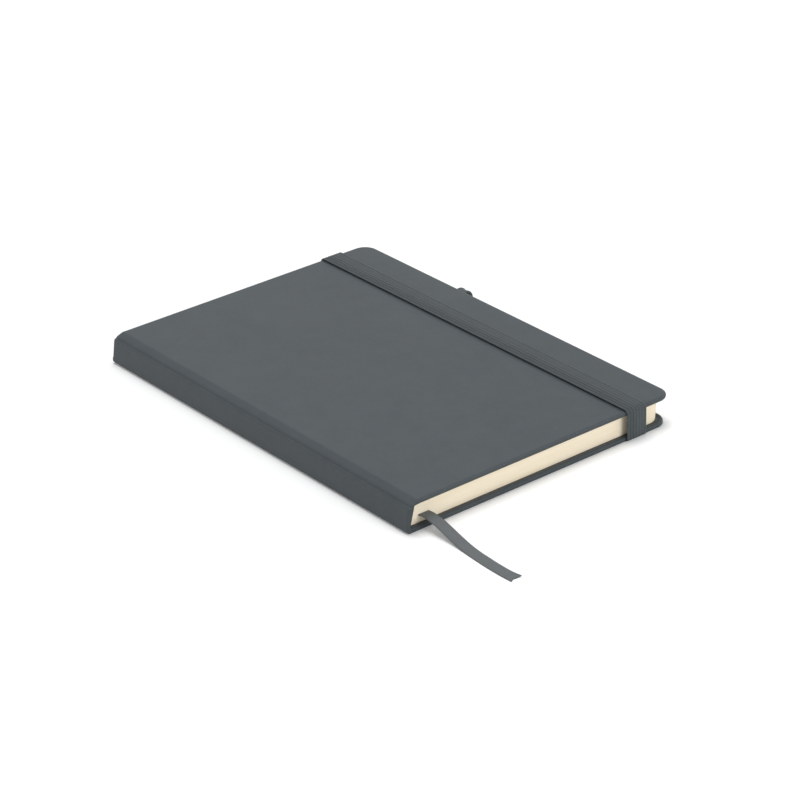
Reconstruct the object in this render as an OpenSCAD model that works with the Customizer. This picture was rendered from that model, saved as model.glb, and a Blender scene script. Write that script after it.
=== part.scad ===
// Hard cover notebook with an elastic closure strap, a pen loop and a ribbon bookmark.
// It lies on its back cover. +X points from the spine to the fore edge and +Y from the tail to the head.
// The origin is the middle of the back cover's outer face, on the surface that the book lies on.

/* [Covers] */
// Width of each cover, from the spine's foot to the fore edge
cover_w = 146; // [105:1:210]
// Height of each cover, from tail to head
cover_h = 210; // [148:1:297]
// Radius of the two corners at each cover's fore edge
corner_r = 7; // [5:0.5:12]
// Thickness of the greyboard in the covers and the spine
board_t = 1.4; // [1.2:0.1:2.5]
// Thickness of the covering material
skin_t = 0.35; // [0.25:0.05:0.5]
// Radius that the covering material makes round a board's edge
edge_r = 0.9; // [0.5:0.05:0.95]
// Width of covering material turned in over a board's inner face
turn_in = 12; // [12:0.5:18]
// Number of pleats that gather the turned-in material round each fore corner
pleats = 5; // [3:1:8]
// Height of the pleats above the cover's inner face
pleat_h = 0.2; // [0.1:0.05:0.3]
// Distance from the cover's edge at which the pleats end
pleat_reach = 2.1; // [1.5:0.1:2.2]

/* [Pages] */
// Thickness of all the leaves together
block_t = 9.5; // [6:0.5:25]
// Distance that the covers stand out past the leaves on three sides
square_w = 2.6; // [1.5:0.1:4]
// Radius of the leaves' two fore corners
page_corner_r = 5; // [3:0.5:10]
// Thickness of one endpaper
endpaper_t = 0.15; // [0.1:0.05:0.3]
// Width of covering material left showing round a pasted endpaper
endpaper_margin = 2.5; // [1.5:0.5:5]

/* [Spine] */
// Width of the flexible joint between the spine's face and a cover board
joint_w = 5.5; // [4.5:0.5:9]
// Distance that the closed book's spine leans towards the fore edge over its full thickness
spine_lean = 2; // [0:0.1:3]
// Radius of the rounding where the spine meets the back cover
foot_r = 1.8; // [1.2:0.1:2.4]
// Radius of the spine's upper edge beside the crease
crease_r = 0.8; // [0.8:0.1:1.2]
// Height of the crease below the front cover's face
crease_drop = 1.5; // [1:0.1:2]
// Thickness of the cloth glued over the back of the leaves
lining_t = 0.3; // [0.2:0.05:0.5]

/* [Closure strap] */
// Width of the elastic strap
strap_w = 11; // [5:0.5:15]
// Thickness of the strap over its ribs
strap_t = 0.8; // [0.5:0.05:0.9]
// Distance from the cover's fore edge to the middle of the strap
strap_inset = 20; // [15:0.5:30]
// Number of woven ribs along the strap
strap_ribs = 7; // [4:1:9]
// Depth of the grooves between the ribs
rib_depth = 0.2; // [0.1:0.05:0.3]
// Gap between the strap and the front cover
strap_gap = 0.2; // [0.1:0.05:0.4]
// Distance from the cover's head or tail edge to the slot that the strap goes through
slot_inset = 14; // [12.5:0.5:20]
// Length of each strap end that is glued under the endpaper
strap_tail = 15; // [10:1:30]

/* [Pen loop] */
// Outer width and height of the round loop
loop_d = 8.4; // [7:0.1:14]
// Width of the elastic band that the loop is made of
loop_band_w = 5.5; // [5:0.5:20]
// Thickness of the band
loop_t = 0.8; // [0.5:0.1:1]
// Width of the raised cord along each edge of the band
loop_cord_w = 1.2; // [0.8:0.1:2]
// Height of the cords above the band between them
loop_cord_h = 0.3; // [0.1:0.1:0.3]
// Thickness of the two band ends pressed together
loop_tail_t = 1; // [0.8:0.1:1.1]
// Length of the band ends inside the back cover
loop_tail = 11; // [6:0.5:11.5]
// Distance that the loop stands out past the back cover
loop_reach = 12.6; // [8:0.1:18]
// Distance that the ends stay pressed together past the back cover
loop_neck = 2.5; // [1:0.5:6]
// Distance of the loop's middle from the book's middle, towards the head
loop_y = 42.5; // [0:0.5:60]

/* [Bookmark] */
// Width of the ribbon
ribbon_w = 5.8; // [3:0.1:10]
// Thickness of the ribbon
ribbon_t = 0.3; // [0.2:0.05:0.5]
// Height of the marked leaf above the lowest one
ribbon_level = 3.3; // [1:0.1:8]
// Distance from the spine's foot to the ribbon's middle where it leaves the pages
ribbon_exit = 11; // [8:0.5:20]

/* [Hidden] */
$fn = 96;

// Clearance round an elastic end in the slot or bed that holds it
bed_gap = 0.1;
// Length by which a cutting shape runs past the face that it opens
past = 1;
// Number of steps in an arc drawn as points
arc_steps = 12;
// Smallest radius left inside a bend
least_r = 0.05;
// Depth at which a straight strand enters the circles that it joins
strand_bite = 0.002;

// Heights of the stack, from the surface that the book lies on
cover_t = board_t + 2 * skin_t;
leaf_z = cover_t + endpaper_t;
book_t = 2 * leaf_z + block_t;

// The lean of the spine and of the leaves, and the shift that it gives the front cover
lean_angle = atan(spine_lean / book_t);
front_shift = spine_lean * (book_t - cover_t) / book_t;

// Height of a leaning shape that still reaches past the book's top at the fore edge
leaning_reach = (book_t + cover_w * sin(lean_angle)) / cos(lean_angle);

// Outer limits of the back cover
spine_x = -cover_w / 2;
fore_x = cover_w / 2;
head_y = cover_h / 2;

// Edge of each cover board beside its joint
back_joint_x = spine_x + joint_w;
front_joint_x = back_joint_x + front_shift;

// Stretch of the spine between its two roundings, measured along the lean
foot_run = foot_r * tan(45 + lean_angle / 2);
spine_top = (book_t - crease_drop) / cos(lean_angle) - crease_r;

// Distances inwards from the spine's face
spine_inner = cover_t;
block_back = spine_inner + lining_t;

// Centre of the spine's rounded upper edge, and the crease where that edge meets the front cover's shoulder
crease_centre = [spine_x + crease_r * cos(lean_angle) + spine_top * sin(lean_angle),
    spine_top * cos(lean_angle) - crease_r * sin(lean_angle)];
crease_x = crease_centre[0] + crease_r * sin(lean_angle);
crease_z = crease_centre[1] + crease_r * cos(lean_angle);

// Shoulder: the arc that leaves the front cover's face level and comes down to the crease
shoulder_w = front_joint_x - crease_x;
shoulder_h = book_t - crease_z;
shoulder_r = (shoulder_w ^ 2 + shoulder_h ^ 2) / (2 * shoulder_h);
shoulder_angle = asin(shoulder_w / shoulder_r);

// Strap and pen loop places
strap_x = fore_x - strap_inset;
slot_y = head_y - slot_inset;
board_top = skin_t + board_t;
loop_x = fore_x + loop_reach - loop_d / 2;
loop_z = cover_t - loop_tail_t;

// Ribbon places
ribbon_z = leaf_z + ribbon_level;
tail_face = head_y - square_w;
ribbon_x = spine_x + ribbon_exit;
ribbon_anchor_x = spine_x + (block_back + ribbon_z * sin(lean_angle)) / cos(lean_angle) + ribbon_w / 2;

// Free ribbon's middle line, from the tail of the pages to its cut end. Each point gives X and Y from where
// the ribbon leaves the pages, then the share of the drop to the surface that is still below it.
ribbon_run = [[0, 0, 1], [0.4, -2.6, 0.98], [0.6, -5.6, 0.9], [0.8, -8.6, 0.79], [0.8, -11.6, 0.65],
    [0.8, -14.6, 0.5], [0.7, -17.6, 0.36], [0.6, -20.6, 0.23], [0.4, -23.6, 0.13], [0.1, -27.6, 0.04],
    [-0.3, -32.6, 0], [-0.6, -37.6, 0], [-0.9, -42.6, 0], [-1, -47.6, 0], [-1, -52.6, 0], [-0.7, -58.1, 0]];
ribbon_rest_z = ribbon_t / 2;
ribbon_drop = ribbon_z - ribbon_rest_z;
ribbon_route = [for (p = ribbon_run) [ribbon_x + p[0], p[1] - tail_face, ribbon_rest_z + p[2] * ribbon_drop]];

// A plate's outline with two round corners at its fore edge
module plate_outline(low_x, high_x, half_h, r) {
    translate([low_x, -half_h]) square([high_x - r - low_x, 2 * half_h]);
    translate([low_x, r - half_h]) square([high_x - low_x, 2 * (half_h - r)]);
    for (side = [-1, 1]) {
        translate([high_x - r, side * (half_h - r)]) circle(r);
    }
}

// Points along an arc, both ends included
function arc_points(centre, r, from_angle, to_angle) =
    [for (i = [0 : arc_steps]) let (a = from_angle + (to_angle - from_angle) * i / arc_steps)
        centre + r * [cos(a), sin(a)]];

// Closed section between an outer and an inner line that run the same way
module between_lines(outer, inner) {
    polygon(concat(outer, [for (i = [len(inner) - 1 : -1 : 0]) inner[i]]));
}

// Puts a section drawn in X and Z along Y, centred on the book
module along_y(length) {
    rotate([90, 0, 0]) linear_extrude(length, center = true) children();
}

// Puts a section drawn in Y and Z along X, centred on a place
module along_x(x, width) {
    translate([x - width / 2, 0, 0]) rotate([90, 0, 90]) linear_extrude(width) children();
}

// The spine's own leaning frame: X inwards from its face, Z up along the lean
module leaning() {
    translate([spine_x, 0, 0]) rotate([0, lean_angle, 0]) children();
}

// Keeps what lies between the two endpapers
module between_covers() {
    intersection() {
        children();
        translate([-cover_w, -cover_h, leaf_z]) cube([2 * cover_w, 2 * cover_h, block_t]);
    }
}

// Wedges of folded material on a corner's inner face, round the corner's centre
module corner_pleats() {
    pitch = 90 / pleats;
    outer_r = corner_r - edge_r;
    fold_w = outer_r * sin(pitch) / 2;
    for (i = [0 : pleats - 1]) {
        rotate([0, 0, (i + 0.5) * pitch]) translate([0, 0, cover_t - skin_t / 2])
            linear_extrude(skin_t / 2 + pleat_h)
                polygon([[outer_r, -fold_w / 2], [outer_r, fold_w / 2], [corner_r - pleat_reach, 0]]);
    }
}

// Section of a cover round its board's edge, from the corner's centre outwards
module edge_section() {
    difference() {
        union() {
            square([corner_r - edge_r, cover_t]);
            translate([0, edge_r]) square([corner_r, cover_t - 2 * edge_r]);
            for (z = [edge_r, cover_t - edge_r]) {
                translate([corner_r - edge_r, z]) circle(edge_r);
            }
        }
        translate([-past, skin_t]) square([past + corner_r - skin_t, board_t]);
    }
}

// Covering material of one cover lying with its outer face down: outer sheet, wrapped edges and turn-ins
module cover_skin() {
    inner_x = fore_x - corner_r;
    inner_y = head_y - corner_r;
    // Outer sheet
    translate([back_joint_x, -inner_y, 0]) cube([inner_x - back_joint_x, 2 * inner_y, skin_t]);
    // Turn-ins past the wrapped edges
    difference() {
        translate([back_joint_x, -inner_y, board_top]) cube([inner_x - back_joint_x, 2 * inner_y, skin_t]);
        translate([back_joint_x - past, turn_in - head_y, board_top - past])
            cube([past + fore_x - turn_in - back_joint_x, 2 * (head_y - turn_in), skin_t + 2 * past]);
    }
    // Wrapped fore edge
    translate([inner_x, 0, 0]) along_y(2 * inner_y) edge_section();
    // Wrapped head and tail edges, and the rounded corners between
    for (side = [0, 1]) {
        mirror([0, side, 0]) {
            translate([(inner_x + back_joint_x) / 2, inner_y, 0]) rotate([0, 0, 90])
                along_y(inner_x - back_joint_x) edge_section();
            translate([inner_x, inner_y, 0]) {
                rotate_extrude(angle = 90) edge_section();
                corner_pleats();
            }
        }
    }
}

// Board of one cover lying with its outer face down
module cover_board() {
    translate([0, 0, skin_t]) linear_extrude(board_t)
        plate_outline(back_joint_x, fore_x - skin_t, head_y - skin_t, corner_r - skin_t);
}

// Endpaper pasted over the turn-ins, stepping down onto the bare board between them
module pasted_endpaper() {
    window_x = fore_x - turn_in;
    window_y = head_y - turn_in;
    difference() {
        union() {
            translate([0, 0, cover_t]) linear_extrude(endpaper_t)
                plate_outline(back_joint_x, fore_x - endpaper_margin, head_y - endpaper_margin,
                    corner_r - endpaper_margin);
            translate([back_joint_x, -window_y, board_top])
                cube([window_x - back_joint_x, 2 * window_y, skin_t + endpaper_t / 2]);
        }
        translate([back_joint_x - past, endpaper_t - window_y, board_top + endpaper_t])
            cube([past + window_x - endpaper_t - back_joint_x, 2 * (window_y - endpaper_t), cover_t]);
    }
}

// Turns a cover made with its outer face down into the front cover, shifted by the lean
module as_front_cover() {
    translate([front_shift, 0, book_t]) mirror([0, 0, 1]) children();
}

// Bed for the strap's underside run and the pen loop's tail, grown by the thickness of what lines it
module elastic_beds(grow) {
    for (side = [0, 1]) {
        mirror([0, side, 0])
            translate([strap_x - strap_w / 2 - bed_gap - grow, slot_y - strap_t - bed_gap, -past])
                cube([strap_w + 2 * (bed_gap + grow), slot_inset + strap_t + bed_gap + past,
                    past + strap_t + grow]);
    }
    translate([fore_x - loop_tail - bed_gap - grow, loop_y - loop_band_w / 2 - bed_gap - grow, loop_z - grow])
        cube([loop_tail + bed_gap + grow + past, loop_band_w + 2 * (bed_gap + grow),
            loop_tail_t + grow + past]);
}

// Slots through the back cover for the strap's two ends
module strap_slots() {
    for (side = [0, 1]) {
        mirror([0, side, 0]) translate([strap_x - strap_w / 2 - bed_gap, slot_y - strap_t - bed_gap, -past])
            cube([strap_w + 2 * bed_gap, strap_t + 2 * bed_gap, board_top + past]);
    }
}

// Line at a depth below the outer face of the sheet round the spine's foot, in X and Z
function foot_line(depth) = concat(
    arc_points([spine_x + foot_run, foot_r], foot_r - depth, 180 - lean_angle, 270),
    [[back_joint_x, depth]]);

// Line at a depth below the outer face of the sheet from the spine over the crease to the front cover
function shoulder_line(depth) = concat(
    arc_points(crease_centre, max(crease_r - depth, least_r), 180 - lean_angle, 90 - lean_angle),
    arc_points([front_joint_x, book_t - shoulder_r], shoulder_r - depth, 90 + shoulder_angle, 90));

// Direction of the ribbon at one place of its route, straight out of the leaves at the first
function ribbon_direction(i) =
    let (last = len(ribbon_route) - 1, step = ribbon_route[min(i + 1, last)] - ribbon_route[max(i - 1, 0)])
    i == 0 ? [0, -1, 0] : step / norm(step);

// Ring of points round the flat ribbon at that place
function ribbon_ring(i) =
    let (along = ribbon_direction(i),
        flat = cross(along, [0, 0, 1]),
        across = flat / norm(flat),
        up = cross(across, along),
        w = ribbon_w / 2,
        t = ribbon_t / 2)
    [for (corner = [[w, -t / 2], [w, t / 2], [w - t, t], [t - w, t],
        [-w, t / 2], [-w, -t / 2], [t - w, -t], [w - t, -t]])
        ribbon_route[i] + corner[0] * across + corner[1] * up];

module page_block() {
    color("#efe1cc") difference() {
        between_covers() leaning() linear_extrude(leaning_reach)
            plate_outline(block_back, (cover_w - square_w) * cos(lean_angle), tail_face, page_corner_r);
        translate([0, 0, bed_gap / 2]) ribbon_strip(ribbon_t + bed_gap);
    }
}

// The ribbon's run between two leaves, from its glued end at the head to the tail
module ribbon_strip(t) {
    translate([0, 0, ribbon_z - t / 2]) linear_extrude(t)
        polygon([[ribbon_x - ribbon_w / 2, -tail_face], [ribbon_x + ribbon_w / 2, -tail_face],
            [ribbon_anchor_x + ribbon_w / 2, tail_face], [ribbon_anchor_x - ribbon_w / 2, tail_face]]);
}

module spine_lining() {
    color("#d9d2c2") between_covers() leaning()
        translate([spine_inner, turn_in - head_y, 0]) cube([lining_t, 2 * (head_y - turn_in), leaning_reach]);
}

module spine_board() {
    color("#8c8578") leaning()
        translate([skin_t, skin_t - head_y, foot_run])
            cube([board_t, 2 * (head_y - skin_t), spine_top - foot_run]);
}

// Covering material over the spine board, turned in at head and tail
module spine_skin() {
    color("#4d5152") leaning() translate([0, 0, foot_run]) linear_extrude(spine_top - foot_run) difference() {
        union() {
            translate([0, edge_r - head_y]) square([cover_t, 2 * (head_y - edge_r)]);
            translate([edge_r, -head_y]) square([cover_t - 2 * edge_r, 2 * head_y]);
            for (x = [edge_r, cover_t - edge_r], side = [-1, 1]) {
                translate([x, side * (head_y - edge_r)]) circle(edge_r);
            }
        }
        translate([skin_t, skin_t - head_y]) square([board_t, 2 * (head_y - skin_t)]);
        translate([skin_t, turn_in - head_y]) square([cover_t, 2 * (head_y - turn_in)]);
    }
}

// A joint's sheet along the whole height, doubled where it is turned in at head and tail
module joint_sheet(outer, single, doubled) {
    along_y(2 * (head_y - turn_in)) between_lines(outer, single);
    for (side = [-1, 1]) {
        translate([0, side * (head_y - turn_in / 2), 0]) along_y(turn_in) between_lines(outer, doubled);
    }
}

module front_joint_skin() {
    color("#565a5b") joint_sheet(shoulder_line(0), shoulder_line(skin_t), shoulder_line(2 * skin_t));
}

module back_joint_skin() {
    color("#4d5152") joint_sheet(foot_line(0), foot_line(skin_t), foot_line(2 * skin_t));
}

module ribbon_inside() {
    color("#707476") ribbon_strip(ribbon_t);
}

module bookmark_ribbon() {
    rings = len(ribbon_route);
    sides = 8;
    points = [for (i = [0 : rings - 1]) each ribbon_ring(i)];
    walls = [for (i = [0 : rings - 2], j = [0 : sides - 1]) let (k = (j + 1) % sides)
        [i * sides + j, i * sides + k, (i + 1) * sides + k, (i + 1) * sides + j]];
    first_end = [[for (j = [sides - 1 : -1 : 0]) j]];
    last_end = [[for (j = [0 : sides - 1]) (rings - 1) * sides + j]];
    color("#707476") polyhedron(concat(points), concat(first_end, walls, last_end));
}

module front_board() {
    color("#8c8578") as_front_cover() cover_board();
}

module front_cover_skin() {
    color("#626669") as_front_cover() cover_skin();
}

module front_endpaper() {
    color("#f0e4d0") as_front_cover() pasted_endpaper();
}

module back_board() {
    color("#8c8578") difference() {
        cover_board();
        elastic_beds(skin_t);
        strap_slots();
        for (side = [0, 1]) {
            mirror([0, side, 0])
                translate([strap_x - strap_w / 2 - bed_gap, slot_y - strap_tail - bed_gap,
                    board_top - strap_t])
                    cube([strap_w + 2 * bed_gap, strap_tail + bed_gap, strap_t + past]);
        }
    }
}

module back_cover_skin() {
    color("#626669") difference() {
        union() {
            cover_skin();
            intersection() {
                cover_board();
                elastic_beds(skin_t);
            }
        }
        elastic_beds(0);
        strap_slots();
    }
}

module back_endpaper() {
    color("#f0e4d0") pasted_endpaper();
}

// Outline that the strap's face follows round the closed book, at a height above its inner face
module strap_loop(height) {
    low = strap_t - height;
    high = book_t + strap_gap + height;
    out = head_y + strap_gap + height;
    low_r = strap_gap + height;
    high_r = edge_r + strap_gap + height;
    translate([-out, low + low_r]) square([2 * out, high - high_r - low - low_r]);
    translate([low_r - out, low]) square([2 * (out - low_r), 2 * low_r]);
    translate([high_r - out, high - 2 * high_r]) square([2 * (out - high_r), 2 * high_r]);
    for (side = [-1, 1]) {
        translate([side * (out - low_r), low + low_r]) circle(low_r);
        translate([side * (out - high_r), high - high_r]) circle(high_r);
    }
}

// Section of the strap along its run, open under the back cover between the two slots
module strap_section(height) {
    difference() {
        strap_loop(height);
        strap_loop(0);
        translate([-slot_y, -past]) square([2 * slot_y, strap_t + past + strap_gap]);
    }
}

module closure_strap() {
    rib_pitch = strap_w / strap_ribs;
    rib_w = rib_pitch * 2 / 3;
    color("#606467") {
        along_x(strap_x, strap_w) {
            strap_section(strap_t - rib_depth);
            for (side = [0, 1]) {
                mirror([side, 0]) {
                    translate([slot_y - strap_t, rib_depth]) square([strap_t, board_top - rib_depth]);
                    translate([slot_y - strap_tail, board_top - strap_t]) square([strap_tail, strap_t]);
                }
            }
        }
        for (i = [0 : strap_ribs - 1]) {
            along_x(strap_x - strap_w / 2 + (i + 0.5) * rib_pitch, rib_w) strap_section(strap_t);
        }
    }
}

// Outline of the pen loop, inset from its outer face: a circle drawn out to the neck where its ends meet
module loop_outline(inset) {
    loop_r = loop_d / 2 - inset;
    neck_r = max(loop_tail_t - inset, least_r);
    middle = [loop_x, loop_z + loop_d / 2];
    neck = [fore_x + loop_neck, loop_z + loop_tail_t];
    run = neck - middle;
    heading = atan2(run[1], run[0]);
    opening = acos((loop_r - neck_r) / norm(run));
    translate(middle) circle(loop_r);
    translate(neck) circle(neck_r);
    // Straight strands between the two circles
    polygon([for (p = [[middle, loop_r, 1], [neck, neck_r, 1], [neck, neck_r, -1], [middle, loop_r, -1]])
        let (a = heading + p[2] * opening) p[0] + (p[1] - strand_bite) * [cos(a), sin(a)]]);
}

// Section of the pen loop's band at a depth below its raised cords
module loop_section(depth) {
    difference() {
        loop_outline(depth);
        loop_outline(loop_t);
    }
    difference() {
        translate([fore_x - loop_tail, loop_z + depth])
            square([loop_x - fore_x + loop_tail, loop_tail_t - 2 * depth]);
        loop_outline(loop_t);
    }
}

module pen_loop() {
    color("#606467") translate([0, loop_y, 0]) {
        along_y(loop_band_w) loop_section(loop_cord_h);
        for (side = [-1, 1]) {
            translate([0, side * (loop_band_w - loop_cord_w) / 2, 0]) along_y(loop_cord_w) loop_section(0);
        }
    }
}

page_block();
spine_lining();
spine_board();
spine_skin();
front_joint_skin();
back_joint_skin();
ribbon_inside();
bookmark_ribbon();
front_board();
front_cover_skin();
front_endpaper();
back_board();
back_cover_skin();
back_endpaper();
closure_strap();
pen_loop();
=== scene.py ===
"""Looks of a hard cover notebook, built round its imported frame.

The book lies closed on its back cover. +X points from the spine to the fore edge, +Y from the tail to the head and +Z
up. Sizes in the classes are in millimetres, as in the part's source, and every mesh is turned into metres once, when
it is made. Only the ribbon's route and the lamps are given in metres.
"""
import logging
import math
from dataclasses import dataclass, field
from enum import Enum
from typing import Iterable, Sequence

import bmesh
import bpy
import numpy as np
from mathutils import Matrix, Vector


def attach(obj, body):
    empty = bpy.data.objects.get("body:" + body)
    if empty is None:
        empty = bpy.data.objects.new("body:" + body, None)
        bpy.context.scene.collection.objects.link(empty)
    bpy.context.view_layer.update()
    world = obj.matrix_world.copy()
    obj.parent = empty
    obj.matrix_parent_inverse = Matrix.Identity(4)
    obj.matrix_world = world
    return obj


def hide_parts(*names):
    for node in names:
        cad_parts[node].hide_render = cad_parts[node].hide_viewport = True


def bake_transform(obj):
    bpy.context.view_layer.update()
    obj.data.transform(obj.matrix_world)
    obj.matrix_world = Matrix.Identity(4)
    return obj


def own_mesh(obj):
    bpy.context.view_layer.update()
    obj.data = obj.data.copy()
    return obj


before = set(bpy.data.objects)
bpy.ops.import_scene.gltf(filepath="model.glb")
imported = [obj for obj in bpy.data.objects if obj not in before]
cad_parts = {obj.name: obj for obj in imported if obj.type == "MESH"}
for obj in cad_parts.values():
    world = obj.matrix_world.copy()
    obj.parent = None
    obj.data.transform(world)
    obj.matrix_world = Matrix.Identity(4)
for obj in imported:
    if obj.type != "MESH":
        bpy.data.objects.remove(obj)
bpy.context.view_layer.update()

LOG = logging.getLogger("notebook")
MM = 0.001


class Body(Enum):
    """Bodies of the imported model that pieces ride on."""

    PAGES = "pages"
    FRONT_COVER = "front_cover"
    BACK_COVER = "back_cover"


class Slot(Enum):
    """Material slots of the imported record."""

    COVER = "cover_material"
    LEAVES = "cream_paper"
    ENDPAPER = "endpaper"
    BOARD = "greyboard"
    LINING = "lining_cloth"
    ELASTIC = "woven_elastic"
    RIBBON = "satin_ribbon"


@dataclass(frozen=True)
class Book:
    """Sizes of the closed book in millimetres, as in the part's source.

    Two follow the photograph more closely than the solids: the covers' edges are 1.0 round in place of 0.9, and the
    leaves' fore corners 6.5 in place of 5.
    """

    width: float = 146.0
    height: float = 210.0
    corner_radius: float = 7.0
    board: float = 1.4
    sheet: float = 0.35
    edge_radius: float = 1.0
    turn_in: float = 12.0
    block: float = 9.5
    square: float = 2.6
    page_corner_radius: float = 6.5
    endpaper: float = 0.15
    endpaper_margin: float = 2.5
    joint_width: float = 5.5
    lean: float = 2.0
    foot_radius: float = 1.8
    crease_radius: float = 0.8
    crease_drop: float = 1.5
    lining: float = 0.3
    strap_x: float = 53.0
    strap_width: float = 11.0
    strap_thick: float = 0.8
    slot_y: float = 91.0
    loop_y: float = 42.5
    loop_width: float = 5.5
    loop_thick: float = 0.8
    loop_tail: float = 11.0
    loop_z: float = 1.1

    @property
    def cover(self) -> float:
        """Thickness of a covered board."""
        return self.board + 2 * self.sheet

    @property
    def leaf_z(self) -> float:
        """Height of the lowest leaf."""
        return self.cover + self.endpaper

    @property
    def thickness(self) -> float:
        """Thickness of the closed book."""
        return 2 * self.leaf_z + self.block

    @property
    def lean_angle(self) -> float:
        """Angle by which the spine and the leaves lean towards the fore edge."""
        return math.atan(self.lean / self.thickness)

    @property
    def front_shift(self) -> float:
        """Distance by which the lean moves the front cover towards the fore edge."""
        return self.lean * (self.thickness - self.cover) / self.thickness

    @property
    def spine_x(self) -> float:
        """Place of the spine's foot."""
        return -self.width / 2

    @property
    def fore_x(self) -> float:
        """Place of the back cover's fore edge."""
        return self.width / 2

    @property
    def head_y(self) -> float:
        """Place of the covers' head edges."""
        return self.height / 2

    @property
    def back_joint_x(self) -> float:
        """Edge of the back board beside its joint."""
        return self.spine_x + self.joint_width

    @property
    def front_joint_x(self) -> float:
        """Edge of the front board beside its joint."""
        return self.back_joint_x + self.front_shift

    @property
    def foot_run(self) -> float:
        """Distance along the lean at which the rounding of the spine's foot ends."""
        return self.foot_radius * math.tan(math.radians(45) + self.lean_angle / 2)

    @property
    def spine_top(self) -> float:
        """Distance along the lean at which the rounding of the spine's upper edge starts."""
        return (self.thickness - self.crease_drop) / math.cos(self.lean_angle) - self.crease_radius

    def leaning(self, inwards: float, upwards: float) -> np.ndarray:
        """Point in X and Z of a place in the spine's own leaning frame.

        Args:
            inwards: Distance from the spine's face.
            upwards: Distance along the lean from the spine's foot.

        Returns:
            The point's X and Z.
        """
        cos, sin = math.cos(self.lean_angle), math.sin(self.lean_angle)
        return np.array([self.spine_x + inwards * cos + upwards * sin, upwards * cos - inwards * sin])


BOOK = Book()


def hex_to_linear(code: str) -> tuple[float, float, float, float]:
    """Turns an sRGB hex colour into the linear values that a shader takes.

    Args:
        code: Colour such as "#626669".

    Returns:
        Linear red, green, blue and an alpha of 1.
    """
    values = [int(code[i : i + 2], 16) / 255 for i in (1, 3, 5)]
    linear = [v / 12.92 if v <= 0.04045 else ((v + 0.055) / 1.055) ** 2.4 for v in values]
    return (linear[0], linear[1], linear[2], 1.0)


def per_mm(size: float) -> float:
    """Texture scale, in metres, that gives a feature of a size in millimetres."""
    return 1 / (size * MM)


def empty_tree(owner: bpy.types.Material | bpy.types.World) -> bpy.types.NodeTree:
    """Makes the node tree of a material or a world ready for its nodes.

    Args:
        owner: The material or the world.

    Returns:
        Its node tree, emptied.
    """
    owner.use_nodes = True
    owner.node_tree.nodes.clear()
    return owner.node_tree


def add_node(
    tree: bpy.types.NodeTree,
    kind: str,
    inputs: dict[str | int, object] | None = None,
    settings: dict[str, object] | None = None,
    output: str | int = 0,
) -> bpy.types.NodeSocket | None:
    """Adds a node with its settings and links.

    Args:
        tree: Node tree that the node goes into.
        kind: Blender's name of the node type, after its first word, ShaderNode.
        inputs: By name or number, values, hex colours, or the output sockets that are linked there.
        settings: Properties of the node, by name.
        output: Name or number of the output that is handed back.

    Returns:
        The node's output socket, or None for a node without one.
    """
    node = tree.nodes.new("ShaderNode" + kind)
    for name, value in (settings or {}).items():
        setattr(node, name, value)
    for name, value in (inputs or {}).items():
        if isinstance(value, bpy.types.NodeSocket):
            tree.links.new(value, node.inputs[name])
        else:
            node.inputs[name].default_value = hex_to_linear(value) if isinstance(value, str) else value
    return node.outputs[output] if node.outputs else None


ADD, TIMES, SINE, SIZE_OF = ({"operation": name} for name in ("ADD", "MULTIPLY", "SINE", "ABSOLUTE"))


class Finish:
    """A material of the book, made once and shared by its pieces."""

    name: str
    slot: Slot
    roughness: float = 0.5
    specular: float = 0.25
    sheen: tuple[float, float] = (0.0, 0.5)
    relief: tuple[float, float] = (0.0, 0.0)

    def __init__(self) -> None:
        """Starts without a material, which is made at its first use."""
        self._material: bpy.types.Material | None = None

    @property
    def material(self) -> bpy.types.Material:
        """The finished material, made at its first use.

        Returns:
            The same material each time.
        """
        if self._material is None:
            self._material = bpy.data.materials.new(self.name)
            tree = empty_tree(self._material)
            look = {"Roughness": self.roughness, "Specular IOR Level": self.specular, "IOR": 1.5,
                    "Sheen Weight": self.sheen[0], "Sheen Roughness": self.sheen[1], **self.pattern(tree)}
            height = look.pop("Height", None)
            if height is not None:
                look["Normal"] = add_node(tree, "Bump", {
                    "Strength": self.relief[0], "Distance": self.relief[1] * MM, "Height": height})
            shader = add_node(tree, "BsdfPrincipled", look)
            add_node(tree, "OutputMaterial", {"Surface": shader})
        return self._material

    def pattern(self, tree: bpy.types.NodeTree) -> dict[str, object]:
        """Builds what varies over the surface.

        Args:
            tree: The material's empty node tree.

        Returns:
            The shader's inputs by name, and the height of the relief under "Height".
        """
        raise NotImplementedError

    @staticmethod
    def noises(
        tree: bpy.types.NodeTree, place: bpy.types.NodeSocket, grains: Sequence[tuple[float, float, float]]
    ) -> list[bpy.types.NodeSocket]:
        """Uneven patterns of several grain sizes.

        Args:
            tree: The material's node tree.
            place: Texture place in metres.
            grains: For each pattern, its grain in millimetres, its detail and its roughness.

        Returns:
            One value's socket for each.
        """
        return [add_node(tree, "TexNoise", {"Vector": place, "Scale": per_mm(grain), "Detail": detail,
                                            "Roughness": rough}) for grain, detail, rough in grains]

    @staticmethod
    def tinted(
        tree: bpy.types.NodeTree, base: object, layers: Sequence[tuple[bpy.types.NodeSocket, float, float, float, str]]
    ) -> bpy.types.NodeSocket:
        """Colour with the tones that patterns lay over it.

        Args:
            tree: The material's node tree.
            base: Hex colour under all the layers.
            layers: For each, the pattern, its values where the tone starts and where it is full, the tone's greatest
                share, and its hex colour.

        Returns:
            The colour's socket.
        """
        for pattern, low, high, share, colour in layers:
            factor = add_node(tree, "MapRange", {0: pattern, 1: low, 2: high, 3: 0.0, 4: share})
            base = add_node(tree, "Mix", {0: factor, 6: base, 7: colour}, {"data_type": "RGBA"}, 2)
        return base

    def dress(self, piece: bpy.types.Object) -> None:
        """Gives a piece this finish.

        Args:
            piece: The piece.
        """
        piece.data.materials.clear()
        piece.data.materials.append(self.material)


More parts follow.
